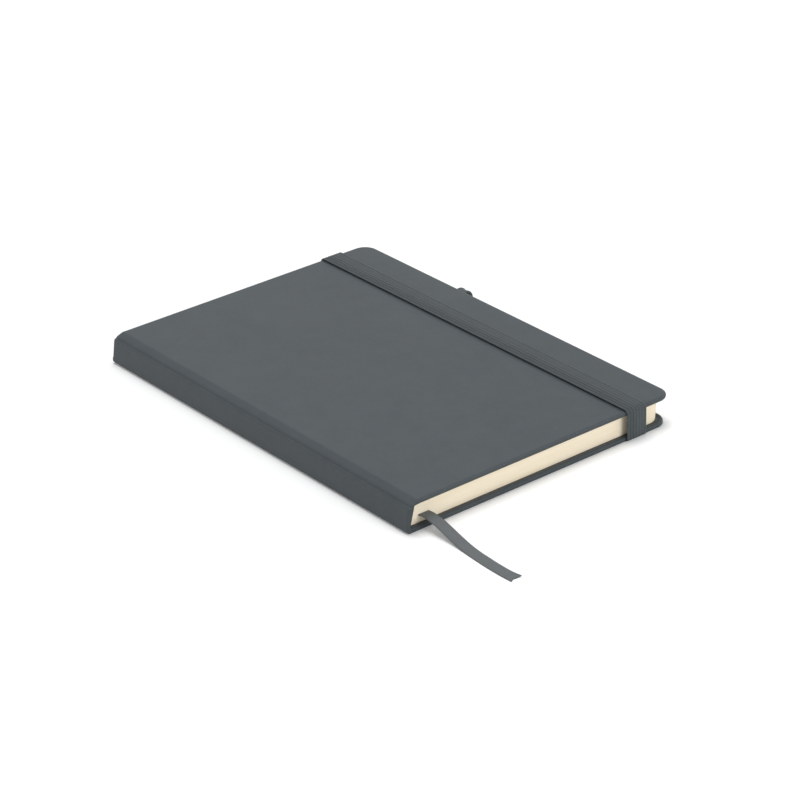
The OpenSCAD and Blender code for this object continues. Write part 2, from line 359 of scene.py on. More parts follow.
class CoatedSheet(Finish):
    """Polyurethane coated bookbinding sheet, embossed with a fine grain: soft, matt, slightly mottled grey."""

    name = "coated_bookbinding_sheet"
    slot = Slot.COVER
    specular = 0.5
    relief = (0.35, 0.08)
    # Grain of the embossing roller, drawn a little coarser than the real 0.3 mm so that it shows
    grain = 0.55
    creases = 1.21
    mottle = 9.0
    wear = 26.0

    def pattern(self, tree: bpy.types.NodeTree) -> dict[str, object]:
        """Builds the grain, the mottle and the matt coat, with painted shade in the grain's pits and painted light on
        the creases' raised parts.

        Args:
            tree: The material's empty node tree.

        Returns:
            The shader's inputs and the relief.
        """
        place = add_node(tree, "TexCoord", output="Object")
        mottle, wear, creases = self.noises(tree, place, (
            (self.mottle, 5.0, 0.6), (self.wear, 3.0, 0.5), (self.creases, 4.0, 0.7)))
        cells = add_node(tree, "TexVoronoi", {"Vector": place, "Scale": per_mm(self.grain), "Smoothness": 0.6},
                         {"feature": "SMOOTH_F1"})
        # Painted shade and light: the cells' colour darkens the grain's pits and the creases' colour lightens their
        # raised parts, following the relief; the mottle is the sheet's own uneven tone.
        tone = self.tinted(tree, "#343b40", (
            (mottle, 0.3, 0.7, 1.0, "#3a4246"), (creases, 0.35, 0.65, 0.5, "#3e464b"),
            (cells, 0.25, 0.75, 0.25, "#2c3236")))
        pits = add_node(tree, "Math", {0: cells, 1: -0.6}, TIMES)
        return {"Base Color": tone, "Height": add_node(tree, "Math", {0: pits, 1: creases}, ADD),
                "Roughness": add_node(tree, "MapRange", {0: wear, 1: 0.3, 2: 0.7, 3: 0.49, 4: 0.52})}


class CutLeaves(Finish):
    """Cream uncoated paper, cut through as a block: matt, with the leaves' edges as fine lines."""

    name = "cut_cream_paper"
    slot = Slot.LEAVES
    roughness = 0.88
    relief = (0.4, 0.06)
    # One leaf is 0.1 mm thick, drawn as bundles of about three so that their lines show
    bundle = 0.32
    section = 1.6
    fibre = 0.7

    def pattern(self, tree: bpy.types.NodeTree) -> dict[str, object]:
        """Builds the lines of the leaves on the cut faces, and the paper's tone.

        Args:
            tree: The material's empty node tree.

        Returns:
            The shader's inputs and the relief.
        """
        place = add_node(tree, "TexCoord", output="Object")
        flat = add_node(tree, "Mapping", {"Vector": place, "Scale": (0.02, 0.02, 1.0)})
        lines, sections = self.noises(tree, flat, ((self.bundle, 3.0, 0.7), (self.section, 1.0, 0.5)))
        fibre, = self.noises(tree, place, ((self.fibre, 6.0, 0.75),))
        upwards = add_node(tree, "SeparateXYZ", {0: add_node(tree, "TexCoord", output="Normal")}, output=2)
        facing = add_node(tree, "Math", {0: upwards}, SIZE_OF)
        cut = add_node(tree, "MapRange", {0: facing, 1: 0.5, 2: 0.9, 3: 1.0, 4: 0.0})
        streaks, bands = (add_node(tree, "Math", {
            0: cut, 1: add_node(tree, "MapRange", {0: value, 1: low, 2: high, 3: 0.0, 4: share})}, TIMES)
            for value, low, high, share in ((lines, 0.35, 0.65, 1.0), (sections, 0.4, 0.7, 0.55)))
        tone = self.tinted(tree, "#f3e7d2", (
            (streaks, 0.0, 1.0, 1.0, "#ecdfc6"), (bands, 0.0, 1.0, 1.0, "#eadcc0"),
            (fibre, 0.4, 0.75, 0.25, "#f6ecda")))
        edges = add_node(tree, "Math", {0: cut, 1: lines}, TIMES)
        height = add_node(tree, "Math", {0: edges, 1: add_node(tree, "Math", {0: fibre, 1: 0.3}, TIMES)}, ADD)
        return {"Base Color": tone, "Height": height}


class PastedPaper(Finish):
    """Cream uncoated endpaper, pasted down: matt, with faint fibres and a hint of the paste's unevenness."""

    name = "pasted_cream_endpaper"
    slot = Slot.ENDPAPER
    roughness = 0.86
    relief = (0.25, 0.12)
    fibre = 0.9
    paste = 14.0

    def pattern(self, tree: bpy.types.NodeTree) -> dict[str, object]:
        """Builds the fibres and the paste's soft unevenness.

        Args:
            tree: The material's empty node tree.

        Returns:
            The shader's inputs and the relief.
        """
        fibre, paste = self.noises(tree, add_node(tree, "TexCoord", output="Object"), (
            (self.fibre, 7.0, 0.75), (self.paste, 2.0, 0.5)))
        tone = self.tinted(tree, "#f1e6d0", (
            (fibre, 0.35, 0.7, 1.0, "#eee1c9"), (paste, 0.35, 0.7, 0.4, "#f3e9d6")))
        faint = add_node(tree, "Math", {0: fibre, 1: 0.2}, TIMES)
        return {"Base Color": tone, "Height": add_node(tree, "Math", {0: faint, 1: paste}, ADD)}


class WovenElastic(Finish):
    """Woven polyester elastic: matt yarn that crosses its ribs in short slanting stitches."""

    slot = Slot.ELASTIC
    roughness = 0.78
    specular = 0.3
    sheen = (0.12, 0.5)
    relief = (0.45, 0.1)
    # Yarns cross the band every 0.5 mm on a real one, drawn a little wider apart so that they show
    stitch = 0.75
    slant = 0.35
    fuzz = 0.3
    patch = 7.0

    def __init__(self, rib: float, light: str, dark: str, name: str) -> None:
        """Takes what differs between two elastics.

        Args:
            rib: Width of a rib in millimetres.
            light: Hex colour painted on the stitches' crests as light.
            dark: Hex colour of the yarn, which shows in the stitches' dips as painted shade and in the random darker
                patches.
            name: The material's name.
        """
        super().__init__()
        self.rib = rib
        self.light = light
        self.dark = dark
        self.name = name

    def pattern(self, tree: bpy.types.NodeTree) -> dict[str, object]:
        """Builds the stitches, slanted to the other side on every second rib, painted lighter on their crests and
        darker in their dips as light and shade.

        Args:
            tree: The material's empty node tree.

        Returns:
            The shader's inputs and the relief.
        """
        flat = add_node(tree, "TexCoord", output="UV")
        across, along = (add_node(tree, "SeparateXYZ", {0: flat}, output=i) for i in (0, 1))
        on_rib = add_node(tree, "Math", {0: across, 1: self.rib}, {"operation": "PINGPONG"})
        slanted = add_node(tree, "Math", {0: on_rib, 1: self.slant}, TIMES)
        turns = add_node(tree, "Math", {0: along, 1: slanted}, ADD)
        wave = add_node(tree, "Math", {0: add_node(tree, "Math", {0: turns, 1: math.tau / self.stitch}, TIMES)}, SINE)
        fuzz, patch = self.noises(tree, add_node(tree, "TexCoord", output="Object"), (
            (self.fuzz, 4.0, 0.7), (self.patch, 2.0, 0.5)))
        # Painted light and shade: the stitches' crests take the light colour and their dips the dark one, following the
        # relief.
        tone = self.tinted(tree, self.dark, ((wave, -1.0, 0.6, 1.0, self.light), (patch, 0.35, 0.7, 0.3, self.dark)))
        stitches = add_node(tree, "Math", {0: wave, 1: 0.5}, TIMES)
        return {"Base Color": tone, "Height": add_node(tree, "Math", {0: stitches, 1: fuzz}, ADD)}


class WovenRibbon(Finish):
    """Woven viscose ribbon: fine crosswise ribs with a low silky gloss and firm selvedges."""

    name = "woven_viscose_ribbon"
    slot = Slot.RIBBON
    roughness = 0.6
    specular = 0.3
    sheen = (0.08, 0.4)
    relief = (0.4, 0.06)
    # The crosswise ribs of a real ribbon are 0.3 mm apart, drawn wider so that they show
    rib = 0.6
    yarn = 0.45
    slub = 1.6
    width = 5.8

    def pattern(self, tree: bpy.types.NodeTree) -> dict[str, object]:
        """Builds the crosswise ribs, the lengthwise yarns and the selvedges, with the weave painted lighter where it
        rises and darker in its hollows as light and shade.

        Args:
            tree: The material's empty node tree.

        Returns:
            The shader's inputs and the relief.
        """
        flat = add_node(tree, "TexCoord", output="UV")
        across, along = (add_node(tree, "SeparateXYZ", {0: flat}, output=i) for i in (0, 1))
        ribs, yarns = (add_node(tree, "Math", {0: add_node(tree, "Math", {0: run, 1: math.tau / pitch}, TIMES)}, SINE)
                       for run, pitch in ((along, self.rib), (across, self.yarn)))
        off_middle = add_node(tree, "Math", {0: across, 1: -self.width / 2}, ADD)
        from_middle = add_node(tree, "Math", {0: off_middle}, SIZE_OF)
        slubs, = self.noises(tree, add_node(tree, "TexCoord", output="Object"), ((self.slub, 5.0, 0.7),))
        weave = add_node(tree, "Math", {0: ribs, 1: add_node(tree, "Math", {0: yarns, 1: 0.6}, TIMES)}, ADD)
        # Painted light and shade: the weave's raised ribs and yarns take the lighter colour and its hollows keep the
        # darker base, following the relief.
        tone = self.tinted(tree, "#595d5f", (
            (weave, -1.2, 1.2, 1.0, "#676b6d"), (slubs, 0.35, 0.7, 0.35, "#6f7375"),
            (from_middle, self.width / 2 - 0.5, self.width / 2 - 0.3, 0.6, "#4a4f51")))
        return {"Base Color": tone, "Height": weave}


class Greyboard(Finish):
    """Recycled paper greyboard, pressed: dull grey brown with flecks of fibre."""

    name = "pressed_greyboard"
    slot = Slot.BOARD
    roughness = 0.9
    fleck = 0.8

    def pattern(self, tree: bpy.types.NodeTree) -> dict[str, object]:
        """Builds the flecks.

        Args:
            tree: The material's empty node tree.

        Returns:
            The shader's inputs.
        """
        flecks, = self.noises(tree, add_node(tree, "TexCoord", output="Object"), ((self.fleck, 6.0, 0.8),))
        return {"Base Color": self.tinted(tree, "#857e72", ((flecks, 0.35, 0.7, 1.0, "#9a9386"),))}


class LiningCloth(Finish):
    """Open woven cotton lining: unbleached threads, glued flat."""

    name = "woven_cotton_lining"
    slot = Slot.LINING
    roughness = 0.9
    thread = 0.9

    def pattern(self, tree: bpy.types.NodeTree) -> dict[str, object]:
        """Builds the crossing threads.

        Args:
            tree: The material's empty node tree.

        Returns:
            The shader's inputs.
        """
        place = add_node(tree, "TexCoord", output="Object")
        warp, weft = (add_node(tree, "Math", {0: add_node(tree, "Math", {
            0: add_node(tree, "SeparateXYZ", {0: place}, output=i), 1: math.tau * per_mm(self.thread)}, TIMES)}, SINE)
            for i in (1, 2))
        crossed = add_node(tree, "Math", {0: warp, 1: weft}, TIMES)
        return {"Base Color": self.tinted(tree, "#cbc3b0", ((crossed, -1.0, 1.0, 1.0, "#ded7c6"),))}


class Draft:
    """Points and faces of one piece in millimetres, welded where points meet."""

    WELD = 2e-4
    CREASE = 40.0

    def __init__(self) -> None:
        """Starts without points and faces."""
        self.points: list[tuple[float, ...]] = []
        self.flat: list[tuple[float, float]] = []
        self.faces: list[tuple[int, ...]] = []
        self._index: dict[tuple[int, ...], int] = {}

    def point(self, place: Sequence[float], flat: tuple[float, float] = (0.0, 0.0)) -> int:
        """Number of the point at a place, added if it is new.

        Args:
            place: X, Y and Z.
            flat: Distances across and along the piece, for its UV map.

        Returns:
            The point's number.
        """
        key = tuple(round(c / self.WELD) for c in place)
        if key not in self._index:
            self._index[key] = len(self.points)
            self.points.append(tuple(float(c) for c in place))
            self.flat.append(flat)
        return self._index[key]

    def face(self, numbers: Iterable[int]) -> None:
        """Adds a face, unless fewer than three of its points differ.

        Args:
            numbers: Numbers of its points, in order round it.
        """
        corners: list[int] = []
        for number in numbers:
            if number not in corners:
                corners.append(number)
        if len(corners) > 2:
            self.faces.append(tuple(corners))

    def grid(self, rows: np.ndarray, closed: bool = False, flats: np.ndarray | None = None) -> np.ndarray:
        """Adds the quads between rows of points.

        Args:
            rows: Array of rows, columns and the three coordinates.
            closed: Whether each row's last point joins its first.
            flats: UV places of the points, as rows, columns and two numbers.

        Returns:
            Numbers of the points, as rows and columns.
        """
        count, width = rows.shape[:2]
        numbers = np.array([[
            self.point(rows[i, j], tuple(flats[i, j]) if flats is not None else (0.0, 0.0)) for j in range(width)
        ] for i in range(count)])
        for i in range(count - 1):
            for j in range(width if closed else width - 1):
                k = (j + 1) % width
                self.face((numbers[i, j], numbers[i, k], numbers[i + 1, k], numbers[i + 1, j]))
        return numbers

    def build(self, name: str, crease: float = CREASE) -> bpy.types.Object:
        """Makes the piece, with its normals outwards and its sharp edges marked.

        Args:
            name: Name of the piece.
            crease: Angle in degrees above which an edge stays sharp.

        Returns:
            The new object.
        """
        mesh = bpy.data.meshes.new(name)
        mesh.from_pydata([tuple(c * MM for c in p) for p in self.points], [], self.faces)
        uv = mesh.uv_layers.new(name="flat")
        places = np.array(self.flat, np.float32)
        corners = np.empty(len(mesh.loops), np.int32)
        mesh.loops.foreach_get("vertex_index", corners)
        uv.data.foreach_set("uv", places[corners].ravel())
        shape = bmesh.new()
        shape.from_mesh(mesh)
        bmesh.ops.recalc_face_normals(shape, faces=shape.faces)
        shape.to_mesh(mesh)
        shape.free()
        piece = bpy.data.objects.new(name, mesh)
        bpy.context.scene.collection.objects.link(piece)
        smooth(piece, crease)
        return piece


def smooth(piece: bpy.types.Object, crease: float) -> None:
    """Shades a piece smoothly, with its sharp edges kept.

    Args:
        piece: The piece.
        crease: Angle in degrees above which an edge stays sharp.
    """
    piece.data.polygons.foreach_set("use_smooth", [True] * len(piece.data.polygons))
    piece.data.set_sharp_from_angle(angle=math.radians(crease))
    piece.data.update()


def cut_away(piece: bpy.types.Object, boxes: Sequence[tuple[Sequence[float], Sequence[float]]]) -> None:
    """Cuts boxes out of a closed piece and applies the cut.

    Args:
        piece: The piece.
        boxes: Lowest and highest corners of each box, in millimetres.
    """
    for low, high in boxes:
        draft = Draft()
        round_box = ((low[0], low[1]), (high[0], low[1]), (high[0], high[1]), (low[0], high[1]))
        corners = [[(x, y, z) for x, y in round_box] for z in (low[2], high[2])]
        numbers = draft.grid(np.array(corners), closed=True)
        draft.face(numbers[0])
        draft.face(numbers[1])
        cutter = draft.build("cutter")
        cut = piece.modifiers.new("cut", "BOOLEAN")
        cut.operation = "DIFFERENCE"
        cut.solver = "EXACT"
        cut.object = cutter
        bpy.context.view_layer.update()
        seen = piece.evaluated_get(bpy.context.evaluated_depsgraph_get())
        mesh = bpy.data.meshes.new_from_object(seen)
        piece.modifiers.clear()
        old = piece.data
        piece.data = mesh
        bpy.data.meshes.remove(old)
        spare = cutter.data
        bpy.data.objects.remove(cutter)
        bpy.data.meshes.remove(spare)


def arc(centre: Sequence[float], radius: float, start: float, end: float, steps: int) -> np.ndarray:
    """Points along an arc, both ends included.

    Args:
        centre: The arc's centre.
        radius: Its radius.
        start: Angle of its first point in radians.
        end: Angle of its last point in radians.
        steps: Number of steps between them.

    Returns:
        The points, one per row.
    """
    angles = np.linspace(start, end, steps + 1)
    return np.array(centre) + radius * np.stack([np.cos(angles), np.sin(angles)], axis=1)


def distances(line: np.ndarray) -> np.ndarray:
    """Distance of each point from a line's first point, along the line."""
    return np.concatenate([[0.0], np.cumsum(np.linalg.norm(np.diff(line, axis=0), axis=1))])


def resampled(line: np.ndarray, step: float) -> np.ndarray:
    """Points along a line at even distances, both ends included.

    Args:
        line: The line's points.
        step: About the distance wanted.

    Returns:
        The new points, one per row.
    """
    lengths = distances(line)
    places = np.linspace(0, lengths[-1], max(2, int(round(lengths[-1] / step)) + 1))
    return np.stack([np.interp(places, lengths, line[:, i]) for i in range(line.shape[1])], axis=1)


def softened(line: np.ndarray, step: float, spread: float) -> np.ndarray:
    """An evenly spaced line with its corners rounded off.

    Args:
        line: Points at even distances.
        step: Distance between them.
        spread: Distance over which a corner is rounded.

    Returns:
        The softened line, with the same ends.
    """
    reach = int(math.ceil(3 * spread / step))
    weights = np.exp(-0.5 * (np.arange(-reach, reach + 1) * step / spread) ** 2)
    weights /= weights.sum()
    ahead = line[0] + (line[0] - line[1]) * np.arange(reach, 0, -1)[:, None]
    behind = line[-1] + (line[-1] - line[-2]) * np.arange(1, reach + 1)[:, None]
    long_line = np.concatenate([ahead, line, behind])
    return np.stack([np.convolve(long_line[:, i], weights, "valid") for i in range(line.shape[1])], axis=1)


def fold(piece: bpy.types.Object, cover: Body, between: Sequence[Sequence[float]]) -> None:
    """Bakes a piece's placement into its mesh and works out where its bend would start and end, without bending it.

    Args:
        piece: The piece.
        cover: Body of the cover; not used.
        between: X and Z, in millimetres, where the bend starts and where it ends.
    """
    start, end = ((x * MM, 0, z * MM) for x, z in between)
    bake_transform(piece)
    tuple(start)
    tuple(end)


# Values at distances along a section
Steps = tuple[Sequence[float], Sequence[float]]
# Place on a sheet's outline: distance along the section, Y, outward direction, and share of a corner's arc if on one
Place = tuple[float, float, float, float, float | None]


@dataclass
class Section:
    """Outer and inner line of a covering sheet in X and Z, from the spine towards the fore edge.

    Both lines have the same number of points, dense where the sheet bends, and a point of one faces its partner on
    the other. Columns are the distances along the outer line at which the mesh has its points.
    """

    line: np.ndarray
    inner: np.ndarray
    board_start: float = 0.0
    columns: list[float] = field(default_factory=list)

    def __post_init__(self) -> None:
        """Measures the outer line."""
        self.distance = distances(self.line)
        self.length = float(self.distance[-1])

    def ends(self, s: float) -> list[np.ndarray]:
        """The outer point at a distance along the line and its partner on the inner line."""
        return [np.array([np.interp(s, self.distance, line[:, i]) for i in (0, 1)]) for line in (self.line, self.inner)]

    def thick(self, s: float) -> float:
        """Thickness at a distance along the line."""
        outer, inner = self.ends(s)
        return float(np.linalg.norm(inner - outer))

    def at(self, s: float, y: float, depth: float) -> tuple[float, float, float]:
        """Point in the book's frame.

        Args:
            s: Distance along the line.
            y: Place between tail and head.
            depth: Distance inwards from the outer face.

        Returns:
            X, Y and Z.
        """
        outer, inner = self.ends(s)
        point = outer + (inner - outer) * depth / float(np.linalg.norm(inner - outer))
        return (float(point[0]), y, float(point[1]))


@dataclass
class Pleats:
    """Folds that gather the turned-in sheet round a board's corner, each with a slow rise and a steep fall."""

    count: int = 5
    height: float = 0.6
    insets: tuple[float, ...] = (0.45, 1.3, 2.0, 2.55)
    slow: float = 0.75
    uneven: float = 0.25
    waves: tuple[float, float] = (9.0, 1.0)

    def rise(self, inset: float, share: float) -> float:
        """Height of the folds above the inner face.

        Args:
            inset: Distance from the board's edge.
            share: Share of the corner's arc, from 0 to 1.

        Returns:
            The height in millimetres.
        """
        along = float(np.interp(inset, self.insets, [0, 1, 1, 0]))
        turn = (share * self.count) % 1.0
        rise = turn / self.slow if turn < self.slow else (1 - turn) / (1 - self.slow)
        wave = math.sin(self.waves[0] * share + self.waves[1])
        return self.height * along * rise * (1 - self.uneven + self.uneven * wave)


@dataclass
class CasedSheet:
    """Closed mesh of a sheet wrapped round a board and turned in, with rounded edges at head and tail.

    The outer face is rounded over its own run and radius, scaled along the section by the steps in narrow. The
    inner face is set towards the fore edge by the steps in cap, only within cap_width of head and tail, because the
    rim is thicker there beside the spine. Steps are distances along the section and the values there.
    """

    section: Section
    outer_run: float
    outer_radius: float
    book: Book = BOOK
    wraps_fore_edge: bool = True
    recess: float = 0.3
    recess_edge: float = 0.25
    pleats: Pleats | None = None
    cap: Steps = ((0.0,), (0.0,))
    narrow: Steps = ((0.0,), (1.0,))
    insets: tuple[float, ...] = (5.4, 3.9, 3.1, 2.5, 2.2, 1.8, 1.45, 1.15)
    cap_width: float = 2.55
    least_flat: float = 0.02
    corner_steps: int = 60
    edge_steps: int = 6
    flat_rows: int = 25
    beside: float = 0.5

    def rows_y(self) -> list[float]:
        """Rows at which the flat of the sheet has its points.

        Returns:
            Their places between tail and head.
        """
        reach = self.book.head_y - self.book.corner_radius
        edge = self.book.head_y - self.book.turn_in
        return [-reach, -edge, *np.linspace(-edge + self.beside, edge - self.beside, self.flat_rows), edge, reach]

    def profile(self, s: float) -> tuple[np.ndarray, np.ndarray]:
        """Insets and depths round the edge, from the outer face to the inner face.

        Args:
            s: Distance along the section line.

        Returns:
            The insets and the depths.
        """
        thick = self.section.thick(s)
        narrow = float(np.interp(s, *self.narrow))
        corner, edge = self.book.corner_radius, self.book.edge_radius
        turn = np.linspace(0, math.pi / 2, self.edge_steps + 1)
        flat = np.array([corner, *self.insets])
        sides = []
        for run, radius in ((self.outer_run * narrow, self.outer_radius * narrow), (edge, edge)):
            radius = min(radius, thick / 2 - self.least_flat)
            stretch = (corner - run) / (corner - edge)
            sides.append((np.concatenate([run + (flat - edge) * stretch, run * (1 - np.sin(turn))]),
                          np.concatenate([np.zeros(len(flat)), radius * (1 - np.cos(turn))])))
        (outer, sink), (inner, lift) = sides
        return np.concatenate([outer, inner[::-1]]), np.concatenate([sink, thick - lift[::-1]])

    def straight(self, sign: int) -> list[Place]:
        """Places on the head edge for sign 1, or on the tail edge for sign -1, from the spine outwards."""
        return [(s, sign * self.book.head_y, 0.0, float(sign), None) for s in self.section.columns]

    def corner(self, sign: int) -> list[Place]:
        """Outline round a fore corner.

        Args:
            sign: 1 for the corner at the head, or -1 for the one at the tail.

        Returns:
            Its places, towards the head.
        """
        radius = self.book.corner_radius
        centre = (self.section.length - radius, sign * (self.book.head_y - radius))
        places = []
        for i in range(self.corner_steps + 1):
            share = i / self.corner_steps
            angle = (share - (1 if sign < 0 else 0)) * math.pi / 2
            cos, sin = math.cos(angle), math.sin(angle)
            places.append((centre[0] + radius * cos, centre[1] + radius * sin, cos, sin, share))
        return places

    def edge_rows(self, places: Sequence[Place]) -> np.ndarray:
        """Wrapped edge along a stretch of the outline.

        Args:
            places: The stretch's places.

        Returns:
            A row of points for each, from the outer face to the inner face.
        """
        rows = []
        for s, y, out_s, out_y, share in places:
            insets, depths = self.profile(min(s, self.section.length))
            half = len(insets) // 2
            cap = float(np.interp(s, *self.cap))
            row = []
            for i, (inset, depth) in enumerate(zip(insets, depths)):
                inwards = cap * max(0.0, 2 * depth / depths[-1] - 1) if inset < self.cap_width else 0.0
                if self.pleats and share is not None and i >= half:
                    depth += self.pleats.rise(inset, share)
                x, y_place, z = self.section.at(s - inset * out_s, y - inset * out_y, depth)
                row.append((x + inwards, y_place, z))
            rows.append(row)
        return np.array(rows)

    def inner_depth(self, s: float, y: float) -> float:
        """Depth of the inner face, lower inside the window between the turn-ins.

        Args:
            s: Distance along the section line.
            y: Place between tail and head.

        Returns:
            Distance inwards from the outer face.
        """
        turned = self.book.turn_in + self.recess_edge
        lowered = self.wraps_fore_edge and self.section.length - s > turned and abs(y) < self.book.head_y - turned
        past_joint = s > self.section.board_start + 2 * self.recess_edge
        return self.section.thick(s) - (self.recess if lowered and past_joint else 0.0)

    def build(self, name: str) -> bpy.types.Object:
        """Makes the mesh.

        Args:
            name: Name of the piece.

        Returns:
            The new object.
        """
        draft = Draft()
        columns = self.section.columns
        rows = self.rows_y()
        if self.wraps_fore_edge:
            fore: list[Place] = [(self.section.length, y, 1.0, 0.0, None) for y in rows[1:-1]]
            runs = [self.straight(-1) + self.corner(-1) + fore + self.corner(1) + self.straight(1)[::-1]]
        else:
            runs = [self.straight(-1), self.straight(1)]
        for run in runs:
            edge = draft.grid(self.edge_rows(run))
            for strip in (edge[0], edge[-1]):
                for i in range(len(strip) // 2):
                    draft.face((strip[i], strip[i + 1], strip[-2 - i], strip[-1 - i]))
        for s in columns[:1] if self.wraps_fore_edge else (columns[0], columns[-1]):
            draft.grid(np.array([[self.section.at(s, y, depth) for y in rows]
                                 for depth in (0.0, self.section.thick(s))]))
        draft.grid(np.array([[self.section.at(s, y, 0.0) for y in rows] for s in columns]))
        draft.grid(np.array([[self.section.at(s, y, self.inner_depth(s, y)) for y in rows] for s in columns]))
        return draft.build(name)


@dataclass
class Covering:
    """The covering sheet of the whole book: front cover with its joint, spine, and back cover with its joint.

    The front fold is as good as sharp and lies at the hinge's own axis. The inner runs are where the sheet's inner line
    leaves the spine board, before the rounding, and the inner corners are where it turns beside the leaves: X, and the
    distance past the covered board's inner face.
    """

    book: Book = BOOK
    overlap: float = 1.0
    softness: float = 0.34
    foot_softness: float = 0.12
    dense: float = 0.05
    column: float = 0.3
    flat_columns: int = 22
    flat_start: float = 6.0
    beside: float = 0.5
    spine_step: float = 0.5
    spine_columns: int = 13
    crease_steps: int = 24
    foot_steps: int = 48
    joint_run: float = 2.0
    foot_joint_run: float = 1.0
    front_inner_run: float = 0.3
    back_inner_run: float = 0.6
    front_inner_corner: tuple[float, float] = (-69.1, 0.03)
    back_inner_corner: tuple[float, float] = (-70.45, 0.03)
    soft_edge: tuple[float, float] = (1.5, 1.0)
    crisp_edge: tuple[float, float] = (0.5, 0.5)
    rim_share: float = 0.72
    cap: float = 1.15
    shoulder: float = 0.7
    groove: float = 0.75
    groove_spread: float = 0.5
    groove_place: float = 0.75
    bed_gap: float = 0.1
    past: float = 1.0
    front_fold: tuple[tuple[float, float], tuple[float, float]] = ((-68.13, 13.0), (-68.09, 13.0))
    back_fold: tuple[tuple[float, float], tuple[float, float]] = ((-71.2, 2.1), (-68.64, 0.18))

    def bent(
        self,
        line: np.ndarray,
        softness: float,
        partners: Sequence[tuple[float, Sequence[float]]],
        flat: float,
        grooved: bool,
    ) -> Section:
        """Section of a sheet that bends beside the spine and is flat from there to the fore edge.

        Args:
            line: Corner points of the bent stretch's outer line.
            softness: Distance over which its corners are rounded.
            partners: Shares of the bent stretch's length, each with the inner line's point there.
            flat: X of the flat stretch's end.
            grooved: Whether the groove beside the spine is pressed into it.

        Returns:
            The section, with its columns.
        """
        curved = softened(resampled(line, self.dense), self.dense, softness)
        lengths = distances(curved)
        start = float(lengths[-1])
        keys, points = zip(*partners)
        inner = np.stack([np.interp(lengths / start, keys, [p[i] for p in points]) for i in (0, 1)], axis=1)
        if grooved:
            curved = self.grooved(curved)
        run = flat - curved[-1][0]
        section = Section(np.concatenate([curved, [curved[-1] + (run, 0)]]),
                          np.concatenate([inner, [inner[-1] + (run, 0)]]), start)
        edge = section.length - self.book.turn_in
        count = int(round(start / self.column))
        section.columns = [
            *(start * i / count for i in range(count)), start, start + 2 * self.column,
            *np.linspace(start + self.flat_start, edge - self.beside, self.flat_columns), edge,
            section.length - self.book.corner_radius]
        return section

    def grooved(self, curved: np.ndarray) -> np.ndarray:
        """Presses the groove in along the spine's upper edge.

        Args:
            curved: The front sheet's outer line.

        Returns:
            The line with its groove.
        """
        run = self.book.crease_radius * self.groove_place
        middle = self.book.leaning(run, self.book.spine_top + run)
        away = np.linalg.norm(curved - middle, axis=1)
        inwards = line_normals(curved, -1.0)
        return curved + inwards * (self.groove * np.exp(-0.5 * (away / self.groove_spread) ** 2))[:, None]

    def front_section(self) -> Section:
        """Section of the front sheet.

        Returns:
            Lines from the spine's face over the crease and the shoulder to the front cover's fore edge.
        """
        book = self.book
        start = book.leaning(0, book.spine_top - self.overlap)
        centre = book.leaning(book.crease_radius, book.spine_top)
        edge = arc(centre, book.crease_radius, math.pi - book.lean_angle, math.pi / 2 - book.lean_angle,
                   self.crease_steps)
        line = np.concatenate([[start], edge, [(book.front_joint_x - self.shoulder, book.thickness),
                                               (book.front_joint_x + self.joint_run, book.thickness)]])
        low = book.thickness - book.cover
        length = float(np.linalg.norm(np.diff(line, axis=0), axis=1).sum())
        edge_share = (self.overlap + book.crease_radius * math.pi / 2) / length
        partners = [(0.0, book.leaning(book.cover, book.spine_top - self.overlap)),
                    (self.overlap / length, book.leaning(book.cover, book.spine_top - self.front_inner_run)),
                    (edge_share, (self.front_inner_corner[0], low - self.front_inner_corner[1])),
                    (1.0, (book.front_joint_x + self.joint_run, low))]
        return self.bent(line, self.softness, partners, book.fore_x + book.front_shift, True)

    def back_section(self) -> Section:
        """Section of the back sheet.

        Returns:
            Lines from the spine's face round its foot and along the underside to the back cover's fore edge.
        """
        book = self.book
        start = book.leaning(0, book.foot_run + self.overlap)
        foot = arc((book.spine_x + book.foot_run, book.foot_radius), book.foot_radius,
                   math.pi - book.lean_angle, 3 * math.pi / 2, self.foot_steps)
        line = np.concatenate([[start], foot, [(book.back_joint_x + self.foot_joint_run, 0.0)]])
        length = float(np.linalg.norm(np.diff(line, axis=0), axis=1).sum())
        foot_share = (self.overlap + book.foot_radius * (math.pi / 2 - book.lean_angle)) / length
        partners = [(0.0, book.leaning(book.cover, book.foot_run + self.overlap)),
                    (self.overlap / length, book.leaning(book.cover, book.foot_run + self.back_inner_run)),
                    (foot_share, (self.back_inner_corner[0], book.cover + self.back_inner_corner[1])),
                    (1.0, (book.back_joint_x + self.foot_joint_run, book.cover))]
        return self.bent(line, self.foot_softness, partners, book.fore_x, False)

    def spine_section(self) -> Section:
        """Section of the spine's sheet.

        Returns:
            Straight lines up the spine's face between the two joints' sheets.
        """
        book = self.book
        low, high = book.foot_run + self.overlap, book.spine_top - self.overlap
        outer, inner = (resampled(np.array([book.leaning(depth, low), book.leaning(depth, high)]), self.spine_step)
                        for depth in (0, book.cover))
        section = Section(outer, inner)
        section.columns = list(np.linspace(0, section.length, self.spine_columns))
        return section

    def openings(self) -> list[tuple[Sequence[float], Sequence[float]]]:
        """Openings in the back cover for the strap's beds and slots and for the pen loop's tail.

        Returns:
            Lowest and highest corner of each.
        """
        book, gap, past = self.book, self.bed_gap, self.past
        half = book.strap_width / 2 + gap
        low_x, high_x = book.strap_x - half, book.strap_x + half
        inner = book.slot_y - book.strap_thick - gap
        bed, slot = (book.head_y + past, book.strap_thick), (book.slot_y + gap, book.sheet + book.board - gap)
        boxes = []
        for sign in (-1, 1):
            for outer, top in (bed, slot):
                low_y, high_y = sorted((sign * inner, sign * outer))
                boxes.append(((low_x, low_y, -past), (high_x, high_y, top)))
        half = book.loop_width / 2 + gap
        boxes.append(((book.fore_x - book.loop_tail - gap, book.loop_y - half, book.loop_z),
                      (book.fore_x + past, book.loop_y + half, book.cover + past)))
        return boxes

